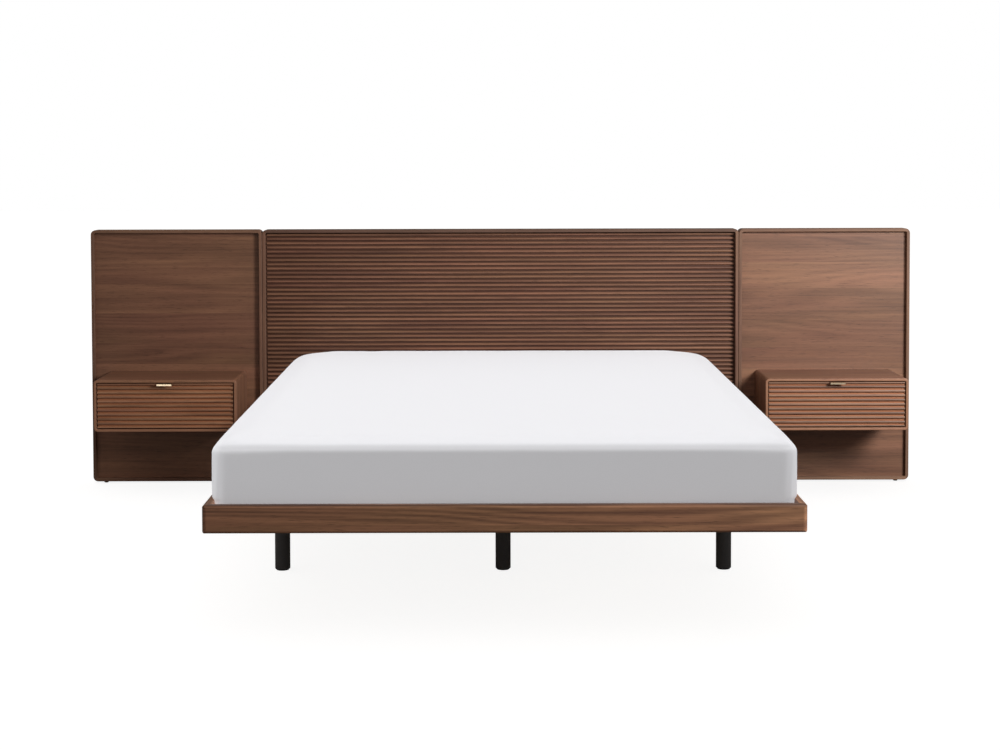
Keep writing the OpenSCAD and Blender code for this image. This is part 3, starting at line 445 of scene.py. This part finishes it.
def moulded_nylon(name, colour):
    """Injection-moulded black nylon with a spark-eroded grain of 0.6 mm: dull, faintly pebbled."""
    made, tree, shader = new_finish(name, Roughness=0.62, IOR=1.53, Base_Color=colour)
    place = add(tree, "TexCoord", {}).outputs["Object"]
    pebbles = add(tree, "TexNoise", {"Vector": place, "Scale": 1 / 0.0006, "Detail": 1.0}).outputs[0]
    rough = add(tree, "MapRange", {0: pebbles, 1: 0.3, 2: 0.7, 3: 0.5, 4: 0.75}).outputs[0]
    tree.links.new(rough, shader.inputs["Roughness"])
    bump = add(tree, "Bump", {"Height": pebbles, "Strength": 0.3, "Distance": 0.0002}).outputs[0]
    tree.links.new(bump, shader.inputs["Normal"])
    return made


# ---- Pieces ----

DRAWER_REED = 0.0162    # from one reed of a drawer front to the next
REEDS = 58              # on the middle board
SOLID = {"ragged": 0.0, "tint": 0.1}    # one even leaf, as on sawn wood


class BED_OT_headboard_boards(bpy.types.Operator):
    """Veneer the two plain side boards, with horizontal grain in leaves of different tone"""
    bl_idname = "bed.headboard_boards"
    bl_label = "Headboard Boards"

    def execute(self, context):
        leaf = context.scene.bed_wood.plank
        # The start is where on the endless pile of leaves the board is cut, in metres
        for side, seed, start in (("left", 3.0, 10.075), ("right", 8.0, 53.145)):
            veneer = walnut(f"walnut_veneer_{side}_board", "across", seed, leaf, tint=0.34, start=start,
                            contrast=0.7)
            dress(veneer, f"{side}_panel")
        return {"FINISHED"}


class BED_OT_reeded_fronts(bpy.types.Operator):
    """Give each reed of the middle board and of the drawer fronts its own streaks and tone"""
    bl_idname = "bed.reeded_fronts"
    bl_label = "Reeded Fronts"

    def execute(self, context):
        wood = context.scene.bed_wood
        low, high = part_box("centre_reeded_panel")
        pitch = (high.z - low.z) / REEDS
        # Painted shade: the middle board's grooves are darkened towards their bottom
        dress(walnut("walnut_reeds_headboard", "across", seed=1.3, leaf=pitch, ragged=0.0, tint=0.18,
                     start=low.z + pitch / 2, grooves=(low.y, tuple(wood.groove_shade), 0.75)),
              "centre_reeded_panel")
        # Each drawer front takes its side's tone, painted lighter on the left and darker on the right, and
        # its grooves get a painted light
        for side, seed, front in (("left", 2.1, wood.left_front_lightened), ("right", 3.1, wood.right_front_darkened)):
            low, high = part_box(f"{side}_drawer_front")
            middle = (low.z + high.z) / 2
            dress(walnut(f"walnut_reeds_{side}_drawer", "across", seed, DRAWER_REED, ragged=0.0, tint=0.16,
                         start=middle, light=tuple(front), grooves=(low.y, tuple(wood.drawer_groove_light), 0.6)),
                  f"{side}_drawer_front")
        return {"FINISHED"}


class BED_OT_rims(bpy.types.Operator):
    """Give the rims of the three panels solid edging, with the grain along each member"""
    bl_idname = "bed.rims"
    bl_label = "Rims"

    def execute(self, context):
        wood = context.scene.bed_wood
        level, dark, upright = (
            walnut(f"walnut_edging_{name}", grain, seed, leaf=0.5, light=tuple(light), gloss=0.6, **SOLID)
            for name, grain, seed, light in (("level", "across", 6.2, wood.level_edge),
                                             ("dark", "across", 6.2, wood.centre_edge),
                                             ("upright", "upright", 7.4, wood.edge)))
        for panel in ("left", "centre", "right"):
            dress(dark if panel == "centre" else level, f"{panel}_rim_top", f"{panel}_rim_bottom")
            dress(upright, f"{panel}_rim_left", f"{panel}_rim_right")
        return {"FINISHED"}


class BED_OT_rails(bpy.types.Operator):
    """Veneer the rails, with the grain along each"""
    bl_idname = "bed.rails"
    bl_label = "Rails"

    def execute(self, context):
        rail = tuple(context.scene.bed_wood.rail)
        # Painted shadow: the rails are darkened from 3 mm below the foot rail's top upwards, for the shade
        # under the sheet's edge
        painted_contact_shadow = ("Z", "GREATER_THAN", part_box("foot_rail")[1].z - PAINTED_STRIP_WIDTH, -0.45)
        dress(walnut("walnut_foot_rail", "across", seed=9.1, leaf=0.6, light=rail, figure=0.16,
                     painted_strip=painted_contact_shadow, **SOLID),
              "foot_rail", "head_rail")
        dress(walnut("walnut_side_rails", "deep", seed=10.7, leaf=0.6, light=rail, figure=0.16, **SOLID),
              "left_side_rail", "right_side_rail")
        return {"FINISHED"}


class BED_OT_nightstand_cases(bpy.types.Operator):
    """Veneer the cases of the nightstands, with the grain running over the top and down the sides"""
    bl_idname = "bed.nightstand_cases"
    bl_label = "Nightstand Cases"

    def execute(self, context):
        # Painted highlight: the front 3 mm of each case is painted lighter, more on the left case than on the
        # right, for the light that its front edges catch
        for side, seed, lighter in (("left", 12.3, 0.35), ("right", 15.3, 0.25)):
            painted_edge_highlight = ("Y", "LESS_THAN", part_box(f"{side}_case_top")[0].y + PAINTED_STRIP_WIDTH, lighter)
            dress(walnut(f"walnut_{side}_case_flat", "flat", seed, leaf=0.12, painted_strip=painted_edge_highlight),
                  f"{side}_case_top", f"{side}_case_bottom")
            dress(walnut(f"walnut_{side}_case_sides", "upright", seed + 1, leaf=0.5, painted_strip=painted_edge_highlight, **SOLID),
                  f"{side}_case_sides")
            dress(walnut(f"walnut_{side}_case_back", "across", seed + 2, leaf=0.12), f"{side}_case_back")
        return {"FINISHED"}


class BED_OT_plywood(bpy.types.Operator):
    """Give the hidden woodwork and the drawer boxes birch plywood, with its plies on the edges"""
    bl_idname = "bed.plywood"
    bl_label = "Plywood"

    def execute(self, context):
        dress(birch_plywood("birch_plywood_level", "Z"), "slats", "centre_beam", "cross_beams",
              *[f"{side}_drawer_bottom" for side in SIDES])
        dress(birch_plywood("birch_plywood_facing", "Y"), "headboard_battens",
              *[f"{side}_drawer_back" for side in SIDES])
        dress(birch_plywood("birch_plywood_lengthwise", "X"), "side_ledgers",
              *[f"{side}_drawer_sides" for side in SIDES])
        return {"FINISHED"}


class BED_OT_legs(bpy.types.Operator):
    """Powder coat the legs and their plates, and give the glides and levelling feet nylon"""
    bl_idname = "bed.legs"
    bl_label = "Legs"

    def execute(self, context):
        metal = context.scene.bed_metal
        dress(powder_coat("black_powder_coat", metal.coat), "front_legs", "rear_legs", "leg_plates")
        dress(moulded_nylon("black_nylon", metal.nylon), "leg_glides", "levelling_feet")
        return {"FINISHED"}


class BED_OT_pulls(bpy.types.Operator):
    """Give the drawer pulls brushed brass"""
    bl_idname = "bed.pulls"
    bl_label = "Pulls"

    def execute(self, context):
        brass = brushed_brass("brushed_brass", context.scene.bed_metal.brass)
        dress(brass, *[f"{side}_pull" for side in SIDES])
        return {"FINISHED"}


LEG_RADIUS = 0.023
PLATE_SCREW = 0.032                         # from a leg's axis to each screw of its plate
PLATE_RISE, BATTEN_RISE = 0.0016, 0.0009    # heights of the screw heads
BATTEN_ROWS = (0.316, 0.601, 0.886)         # heights of the battens' screws, and their places along X
BATTEN_SPOTS = (-1.50, -0.96, -0.84, -0.42, 0.0, 0.42, 0.84, 0.96, 1.50)


def screw_heads(places, axis, diameter, rise):
    """Pan-head screws with a cross recess. Each head is a revolved quarter ellipse, height = rise *
    sqrt(1 - r^2), lowered near the middle by the cross, whose depth falls with r and with |sin 2a|."""
    turns, steps = 16, 7
    r = np.linspace(1.0, 0.0, steps)[:, None] ** 0.8
    a = np.linspace(0, 2 * np.pi, turns, endpoint=False)[None, :]
    lift = np.sqrt(np.clip(1 - r ** 2, 0, 1)) * np.ones_like(a)
    recess = np.clip(1 - r / 0.55, 0, 1) * (1 - 0.7 * np.abs(np.sin(2 * a)))
    height = rise * (lift - 0.8 * recess)
    ring = np.stack([diameter / 2 * r * np.cos(a), diameter / 2 * r * np.sin(a), height], -1).reshape(-1, 3)
    turn = Vector(axis).to_track_quat("Z", "Y").to_matrix()
    ring = ring @ np.array(turn).T
    faces = grid_faces(steps, turns, closed=True)
    points = (ring[None] + np.array(places)[:, None]).reshape(-1, 3)
    return points, (faces[None] + (np.arange(len(places)) * len(ring))[:, None, None]).reshape(-1, 4)


class BED_OT_fasteners(bpy.types.Operator):
    """Plate the slides and fittings, and add the screws of the leg plates and the headboard's battens"""
    bl_idname = "bed.fasteners"
    bl_label = "Fasteners"

    def execute(self, context):
        metal = context.scene.bed_metal
        zinc = zinc_plate("bright_zinc", metal.zinc)
        dress(zinc, "corner_brackets", "bed_bolts", "panel_connectors",
              *[f"{side}_{name}" for side in SIDES for name in (
                  "mounting_bolts", "slide_case_members", "slide_middle_members", "slide_drawer_members")])
        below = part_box("leg_plates")[0].z
        front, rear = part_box("front_legs"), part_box("rear_legs")
        rows = [(box[0].y + box[1].y) / 2 for box in (front, rear)]
        reach = (front[1].x - front[0].x) / 2 - LEG_RADIUS
        places = [(x + side * PLATE_SCREW, y, below) for x in (-reach, 0, reach) for y in rows
                  for side in (-1, 1)]
        points, faces = screw_heads(places, (0, 0, -1), metal.screw, PLATE_RISE)
        new_piece("leg_plate_screws", points, faces, "bed", zinc)
        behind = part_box("headboard_battens")[1].y
        places = [(x, behind, z) for x in BATTEN_SPOTS for z in BATTEN_ROWS]
        points, faces = screw_heads(places, (0, 1, 0), metal.screw, BATTEN_RISE)
        new_piece("batten_screws", points, faces, "bed", zinc)
        return {"FINISHED"}


# ---- Mattress and sheet ----

HALF_WIDTH, HALF_LENGTH = 0.7612, 1.016
THICK, CROWN = 0.178, 0.012             # to the level of the edges, and above it
FOOT_CORNER, HEAD_CORNER = 0.050, 0.120     # radii in plan
RAIL, RAIL_GAP = 0.021, 0.008           # thickness of the foot rail, and its gap to the mattress
ROOM = 0.0004                           # round the sheet, within the plain mattress
LINE_GAP = 0.030                        # between the lattice's lines, outside the rolled edges
HEAD_GROWTH, FOOT_GROWTH = 2.0, 0.5     # how much wider the edges roll at a corner
GROWTH_REACH = 0.12                     # distance over which that fades
SHOULDER, FOOT_SHOULDER = 0.09, 0.045   # over which the top rises to its crown
FOOT_REACH = 0.1                        # distance over which the foot's shoulder becomes the sides'
LEAN, SIDE_REACH = 0.008, 0.08          # height over which a side comes in at the rails, and its depth
GATHER_REACH, GATHER_PITCH = 0.07, 0.034    # of the sheet's small folds, round a corner
LIFT, WAVE = 0.0003, 0.0005             # of the sheet over the cover: everywhere, and in its long soft waves
HELD_ABOVE = 0.004                      # the rails hold the cover up to this height over their top


def lattice(half, fine):
    """Places of lattice lines over one side: close together in the rolled edges, then 30 mm apart."""
    edge = fine * np.array([0.0, 0.22, 0.45, 0.70, 1.0, 1.6, 2.6])
    count = max(2, int(round((2 * half - 2 * edge[-1]) / LINE_GAP)))
    return np.concatenate([edge - half, np.linspace(edge[-1] - half, half - edge[-1], count + 1)[1:-1],
                           (half - edge)[::-1]])


def box_lattice(xs, ys, zs):
    """Surface of a lattice of lines as whole arrays: points shared between faces, and quads facing outwards.
    Each of the six faces is a grid of line numbers; equal numbers are then merged into one point."""
    nx, ny, nz = len(xs), len(ys), len(zs)
    sheets = []
    for fixed, value, first, second in (
            (2, 0, 1, 0), (2, nz - 1, 0, 1), (1, 0, 0, 2), (1, ny - 1, 2, 0), (0, 0, 2, 1),
            (0, nx - 1, 1, 2)):
        size = (nx, ny, nz)
        p, q = np.meshgrid(np.arange(size[first]), np.arange(size[second]), indexing="ij")
        grid = np.zeros((*p.shape, 3), int)
        grid[..., fixed], grid[..., first], grid[..., second] = value, p, q
        # (p, q), (p + 1, q), (p + 1, q + 1), (p, q + 1) turns from the first axis to the second
        quads = np.stack([grid[:-1, :-1], grid[1:, :-1], grid[1:, 1:], grid[:-1, 1:]], 2)
        sheets.append(quads.reshape(-1, 4, 3))
    corners = np.concatenate(sheets)
    numbers, back = np.unique(corners.reshape(-1, 3), axis=0, return_inverse=True)
    points = np.stack([xs[numbers[:, 0]], ys[numbers[:, 1]], zs[numbers[:, 2]]], -1)
    return points, back.reshape(-1, 4), numbers


def rounded_mattress(points, half, height, roll, sink, overhang):
    """Rounds a box into a mattress. Plan: in each corner's square the map (u, v) to
    (u sqrt(1 - v^2 / 2), v sqrt(1 - u^2 / 2)) turns the square into a quarter disc. Edges: the same map in
    the plane of inset and height rolls the top and bottom edges, with a radius that grows by
    e^-(d / 120 mm)^2 towards each corner, d off. The top rises over the shoulders by
    crown * sin(90 deg * inset / w), where w is 90 mm, and 45 mm at the foot, fading in by e^-(y / 100 mm)^2,
    y off it. Above the rails, from `sink` up, the two long sides stand out by the overhang, in over 8 mm."""
    p = points.copy()
    a, b = half
    for sx in (-1, 1):
        for sy, r in ((-1, FOOT_CORNER), (1, HEAD_CORNER)):
            u = (sx * p[:, 0] - (a - r)) / r
            v = (sy * p[:, 1] - (b - r)) / r
            inside = (u > 0) & (v > 0)
            u, v = u[inside], v[inside]
            p[inside, 0] = sx * (a - r + r * u * np.sqrt(1 - v * v / 2))
            p[inside, 1] = sy * (b - r + r * v * np.sqrt(1 - u * u / 2))
    # Inset from the outline and the outward direction at each point
    r = np.where(p[:, 1] > 0, HEAD_CORNER, FOOT_CORNER)
    qx, qy = np.abs(p[:, 0]) - (a - r), np.abs(p[:, 1]) - (b - r)
    outer = np.hypot(np.clip(qx, 0, None), np.clip(qy, 0, None))
    corner = (qx > 0) & (qy > 0)
    inset = np.where(corner, r - outer, r - np.maximum(qx, qy))
    nx = np.where(corner, np.clip(qx, 0, None) / np.maximum(outer, 1e-9), (qx >= qy) * 1.0) * np.sign(p[:, 0])
    ny = np.where(corner, np.clip(qy, 0, None) / np.maximum(outer, 1e-9), (qx < qy) * 1.0) * np.sign(p[:, 1])
    near = np.exp(-((np.abs(p[:, 0]) - a) / GROWTH_REACH) ** 2 - ((np.abs(p[:, 1]) - b) / GROWTH_REACH) ** 2)
    roll = roll * (1 + np.where(p[:, 1] > 0, HEAD_GROWTH, FOOT_GROWTH) * near)
    rise = height - p[:, 2]
    for drop, sign in ((rise, -1.0), (p[:, 2].copy(), 1.0)):
        u = np.clip(1 - inset / roll, 0, 1)
        v = np.clip(1 - drop / roll, 0, 1)
        move = (u > 0) & (v > 0)
        lateral = roll * (u - u * np.sqrt(1 - v * v / 2))
        vertical = roll * (v - v * np.sqrt(1 - u * u / 2))
        p[move, 0] -= (nx * lateral)[move]
        p[move, 1] -= (ny * lateral)[move]
        p[move, 2] += sign * vertical[move]
    top = np.clip((points[:, 2] - height / 2) / (height / 2), 0, 1)
    shoulder = SHOULDER - (SHOULDER - FOOT_SHOULDER) * np.exp(-((points[:, 1] + b) / FOOT_REACH) ** 2)
    p[:, 2] += CROWN * top * np.sin(np.pi / 2 * np.clip(inset / shoulder, 0, 1))
    out = overhang * np.clip((p[:, 2] - sink) / LEAN, 0, 1) * np.clip(1 - inset / SIDE_REACH, 0, 1)
    p[:, 0] += nx * out
    return p


def face_normals(points, faces):
    """Outward direction at each point: the sum of the normals of its faces, made one long."""
    a, b, c, d = (points[faces[:, i]] for i in range(4))
    n = np.cross(c - a, d - b)
    out = np.zeros_like(points)
    for i in range(4):
        np.add.at(out, faces[:, i], n)
    return out / np.maximum(np.linalg.norm(out, axis=1, keepdims=True), 1e-12)


def filled(piece, out, held, most):
    """Lets the filling push the cover out: Blender's Cloth with pressure and no gravity for 20 frames. Each
    point keeps the outward part of its move, by at most `most`, and the held ones stay."""
    group = piece.vertex_groups.new(name="held")
    group.add(np.flatnonzero(held).tolist(), 1.0, "REPLACE")
    cloth = piece.modifiers.new("filling", "CLOTH")
    cloth.settings.quality = 6
    cloth.settings.mass = 0.4
    cloth.settings.tension_stiffness = 25
    cloth.settings.compression_stiffness = 25
    cloth.settings.bending_stiffness = 2.0
    cloth.settings.use_pressure = True
    cloth.settings.uniform_pressure_force = 4.0
    cloth.settings.vertex_group_mass = "held"
    cloth.settings.effector_weights.gravity = 0.0
    cloth.collision_settings.use_collision = False
    scene = bpy.context.scene
    start = np.zeros(len(piece.data.vertices) * 3)
    piece.data.vertices.foreach_get("co", start)
    for number in range(1, 21):
        scene.frame_set(number)
    seen = piece.evaluated_get(bpy.context.evaluated_depsgraph_get())
    end = np.zeros_like(start)
    seen.data.vertices.foreach_get("co", end)
    piece.modifiers.remove(cloth)
    scene.frame_set(1)
    far = np.clip(((end - start).reshape(-1, 3) * out).sum(1, keepdims=True), 0, most)
    piece.data.vertices.foreach_set("co", start + (out * far).ravel())
    piece.data.update()


def cloth_map(mesh, numbers, shape, points, half, height):
    """Flat map of the sheet in metres: the top as it lies, each side unfolded outwards from its edge."""
    a, b = half
    faces = np.zeros(len(mesh.loops), int)
    mesh.loops.foreach_get("vertex_index", faces)
    quads = faces.reshape(-1, 4)
    n = numbers[quads]
    uv = points[quads][..., :2].copy()
    drop = height - points[quads][..., 2]
    for axis in (0, 1):
        for at, sign in ((0, -1), (shape[axis] - 1, 1)):
            side = (n[..., axis] == at).all(1)
            uv[side, :, axis] = sign * ((a, b)[axis] + drop[side])
    layer = mesh.uv_layers.new(name="cloth")
    layer.data.foreach_set("uv", uv.reshape(-1, 2).ravel())


def stands_off(points, half, middle, top, height, gather):
    """How far the sheet stands off the cover at each point. Gathers: a sine of the way round each corner,
    34 mm to a fold, that fades by e^-(d / 70 mm)^2 from the corner and to nothing at the top. Waves: the
    product of two slow sines of X and Y."""
    x, y = points[:, 0], points[:, 1]
    off_x, off_y = np.abs(x) - half[0], np.abs(y - middle[1]) - half[1]
    corner = np.exp(-((off_x / GATHER_REACH) ** 2 + (off_y / GATHER_REACH) ** 2))
    drop = np.clip((top - points[:, 2]) / height, 0, 1)
    folds = 0.5 + 0.5 * np.sin(2 * np.pi * (x - y * np.sign(x * y)) / GATHER_PITCH + 3 * drop)
    waves = 0.5 + 0.5 * np.sin(23 * x + 1.7 * np.sin(9 * y)) * np.sin(19 * y + 2 * x)
    return LIFT + gather * corner * folds * np.minimum(1, 2 * drop) + WAVE * waves


class BED_OT_mattress(bpy.types.Operator):
    """Build the mattress, let its filling swell it, and stretch the fitted sheet over it"""
    bl_idname = "bed.mattress"
    bl_label = "Mattress and Sheet"

    def execute(self, context):
        bed = context.scene.bed_sheet
        low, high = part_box("mattress")
        rail_low, rail_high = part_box("foot_rail")
        skin = bed.cloth + ROOM
        half = np.array([HALF_WIDTH - skin, HALF_LENGTH - skin])
        middle = np.array([0.0, rail_low.y + RAIL + RAIL_GAP + HALF_LENGTH, low.z + skin])
        height = THICK - 2 * skin
        sink = rail_high.z - low.z
        xs, ys = lattice(half[0], bed.roll), lattice(half[1], bed.roll)
        zs = np.sort(np.append(lattice(height / 2, bed.roll) + height / 2, [sink, sink + LEAN]))
        flat, faces, numbers = box_lattice(xs, ys, zs)
        shape = (len(xs), len(ys), len(zs))
        shaped = rounded_mattress(flat, half, height, bed.roll, sink, bed.overhang)
        points = shaped + middle
        ticking = knitted_ticking("knitted_ticking", bed.ticking)
        core = new_piece("mattress_core", points, faces, "bed", ticking, ["mattress"])
        held = points[:, 2] < rail_high.z + HELD_ABOVE
        filled(core, face_normals(points, faces), held, bed.swell)
        grown = np.zeros(len(points) * 3)
        core.data.vertices.foreach_get("co", grown)
        points = grown.reshape(-1, 3)
        core.modifiers.new("round", "SUBSURF").render_levels = 1
        cotton = cotton_percale("cotton_percale", bed.cotton)
        # The sheet lies on the cover: every point moves out along its normal by the gap and by the gathers
        out = face_normals(points, faces)
        lies = points + out * stands_off(points, half, middle, high.z, height, bed.gather)[:, None]
        # It is open underneath, inside the width that it turns in
        under = (numbers[:, 2] == 0) & (np.abs(flat[:, :2]) < half - bed.tuck).all(1)
        kept = ~(under[faces].any(1))
        used, back = np.unique(faces[kept], return_inverse=True)
        cover = new_piece("fitted_sheet", lies[used], back.reshape(-1, 4), "bed", cotton)
        cloth_map(cover.data, numbers[used], shape, shaped[used], half, height)
        cover.modifiers.new("round", "SUBSURF").render_levels = 1
        cloth = cover.modifiers.new("cloth", "SOLIDIFY")
        cloth.thickness, cloth.offset = bed.cloth, 1.0
        return {"FINISHED"}


# ---- Studio ----

FLOOR_REACH = 30.0
KEY_PLACE, KEY_AIM, KEY_SIZE = (2.96, -1.97, 2.05), (1.0, 1.0, 0.5), 1.2
CAMERA_PLACE = (-0.0297, -5.3578, 1.2663)
CAMERA_SHIFT = (0.0075, -0.1596)        # of the lens to the right and up, in widths of the picture
PITCH, ROLL = math.radians(2.207), math.radians(-0.135)     # the camera's front down, its right side up
SENSOR = 36                             # width in millimetres


def pale_floor(studio):
    """A wide pale floor. The camera sees it lit through from below as well, so that it goes white and keeps
    a faint shadow."""
    made, tree, shader = new_finish("painted_studio_floor", Roughness=0.8, Specular_IOR_Level=0.0,
                                    Base_Color=studio.floor, Emission_Color=(1, 1, 1, 1))
    seen = add(tree, "LightPath", {}).outputs["Is Camera Ray"]
    glow = add(tree, "Math", {0: seen, 1: studio.glow}, operation="MULTIPLY").outputs[0]
    tree.links.new(glow, shader.inputs["Emission Strength"])
    corners = [(x * FLOOR_REACH, y * FLOOR_REACH, 0.0) for x, y in ((-1, -1), (1, -1), (1, 1), (-1, 1))]
    mesh = bpy.data.meshes.new("studio_floor")
    mesh.from_pydata(corners, [], [(0, 1, 2, 3)])
    mesh.materials.append(made)
    floor = bpy.data.objects.new("studio_floor", mesh)
    bpy.context.scene.collection.objects.link(floor)
    return floor


def surroundings(studio):
    """Even warm light from all round, which the camera itself sees as plain white."""
    world = bpy.data.worlds.new("studio")
    bpy.context.scene.world = world
    world.use_nodes = True
    tree = world.node_tree
    back = tree.nodes["Background"]
    seen = add(tree, "LightPath", {}).outputs["Is Camera Ray"]
    strength = add(tree, "MapRange", {0: seen, 3: studio.sky, 4: 1.0}).outputs[0]
    colour = add(tree, "Mix", {0: seen, 6: studio.warm, 7: (1, 1, 1, 1)}, data_type="RGBA").outputs[2]
    tree.links.new(colour, back.inputs["Color"])
    tree.links.new(strength, back.inputs["Strength"])


def lit_groups(floor):
    """Collections for the lights: bedding, everything hard, what the key light falls on, and the pulls. The
    key light leaves out the pulls, which have a card of their own, and the dull black legs."""
    bedding, solid, key_lit, pulls = (bpy.data.collections.new(name) for name in
                                      ("bedding", "woodwork_and_metal", "key_lit", "pulls"))
    for side in SIDES:
        pulls.objects.link(NODES[f"{side}_pull"])
    unlit = [*pulls.objects, *[NODES[name] for name in ("front_legs", "rear_legs", "leg_plates")]]
    for thing in list(bpy.context.scene.objects):
        if thing.type == "MESH" and thing != floor:
            soft = thing.name in ("mattress_core", "fitted_sheet")
            (bedding if soft else solid).objects.link(thing)
            if not soft and thing not in unlit:
                key_lit.objects.link(thing)
    return bedding, solid, key_lit, pulls


def hang(light, place, toward, lights_up, shaded_by):
    """Hangs a light, turned toward a direction. It lights up one collection and is shaded by another."""
    lamp = bpy.data.objects.new(light.name, light)
    lamp.location = place
    lamp.rotation_euler = toward.to_track_quat("-Z", "Y").to_euler()
    bpy.context.scene.collection.objects.link(lamp)
    lamp.light_linking.receiver_collection = lights_up
    lamp.light_linking.blocker_collection = shaded_by


def soft_lights(studio, floor):
    """The square key light at the right on the woodwork, and wide even lights on bedding and pulls."""
    bedding, solid, key_lit, pulls = lit_groups(floor)
    key = bpy.data.lights.new("key_softbox", "AREA")
    key.shape, key.size, key.size_y, key.energy = "RECTANGLE", KEY_SIZE, KEY_SIZE, studio.key
    key.color = studio.cool
    hang(key, KEY_PLACE, Vector(KEY_AIM) - Vector(KEY_PLACE), key_lit, solid)
    # Each wide light comes from a direction (to the right, from the foot, from above), as wide as its angle
    for name, come, power, angle, seen_by in (
            ("overhead_light", (0.05, -0.4, 1.0), studio.top, 50, bedding),
            ("front_fill", (0.0, 1.0, 0.0), studio.front, 20, bedding),
            ("left_fill", (-1.0, 0.2, 0.2), studio.fill, 20, bedding),
            ("right_fill", (1.0, 0.2, 0.2), studio.fill, 20, bedding),
            ("pull_card", (-0.4, 1.0, 0.0), studio.card, 40, pulls)):
        light = bpy.data.lights.new(name, "SUN")
        light.energy, light.angle = power, math.radians(angle)
        hang(light, (0, 0, 0), Vector((-come[0], come[1], -come[2])), seen_by, seen_by)


def front_camera(studio):
    """The camera in front of the foot, looking along Y and a little down, with a shifted lens."""
    lens = bpy.data.cameras.new("camera")
    lens.lens, lens.sensor_width = studio.lens, SENSOR
    lens.shift_x, lens.shift_y = CAMERA_SHIFT
    view = bpy.data.objects.new("camera", lens)
    ahead = Vector((0, math.cos(PITCH), -math.sin(PITCH)))
    right, up = Vector((1, 0, 0)), Vector((0, math.sin(PITCH), math.cos(PITCH)))
    right, up = right * math.cos(ROLL) + up * math.sin(ROLL), up * math.cos(ROLL) - right * math.sin(ROLL)
    turn = Matrix((right, up, -ahead)).transposed()
    view.matrix_world = Matrix.Translation(CAMERA_PLACE) @ turn.to_4x4()
    bpy.context.scene.collection.objects.link(view)
    bpy.context.scene.camera = view


class BED_OT_studio(bpy.types.Operator):
    """Make the pale floor, the soft lights and the camera"""
    bl_idname = "bed.studio"
    bl_label = "Studio"

    def execute(self, context):
        studio = context.scene.bed_studio
        context.scene.view_settings.view_transform = "Standard"
        context.scene.view_settings.look = "None"
        floor = pale_floor(studio)
        surroundings(studio)
        soft_lights(studio, floor)
        front_camera(studio)
        return {"FINISHED"}


class BED_PT_panel(bpy.types.Panel):
    """Lists the settings and the steps"""
    bl_idname = "BED_PT_panel"
    bl_label = "Bed with Nightstands"
    bl_space_type = "VIEW_3D"
    bl_region_type = "UI"
    bl_category = "Bed"

    def draw(self, context):
        for settings in (context.scene.bed_wood, context.scene.bed_sheet, context.scene.bed_metal,
                         context.scene.bed_studio):
            box = self.layout.box()
            for name in settings.__annotations__:
                box.prop(settings, name)
        for step in STEPS:
            self.layout.operator(step.bl_idname)


STEPS = (BED_OT_headboard_boards, BED_OT_reeded_fronts, BED_OT_rims, BED_OT_rails, BED_OT_nightstand_cases,
         BED_OT_plywood, BED_OT_legs, BED_OT_pulls, BED_OT_fasteners, BED_OT_mattress, BED_OT_studio)
SETTINGS = {"bed_wood": BedWoodSettings, "bed_sheet": BedSheetSettings, "bed_metal": BedMetalSettings,
            "bed_studio": BedStudioSettings}


def register():
    for kind in (*SETTINGS.values(), *STEPS, BED_PT_panel):
        bpy.utils.register_class(kind)
    for name, kind in SETTINGS.items():
        setattr(bpy.types.Scene, name, PointerProperty(type=kind))


def unregister():
    for name in SETTINGS:
        delattr(bpy.types.Scene, name)
    for kind in reversed((*SETTINGS.values(), *STEPS, BED_PT_panel)):
        bpy.utils.unregister_class(kind)


def main():
    """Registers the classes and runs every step."""
    register()
    for step in STEPS:
        group, name = step.bl_idname.split(".")
        getattr(getattr(bpy.ops, group), name)()


if __name__ == "__main__":
    main()
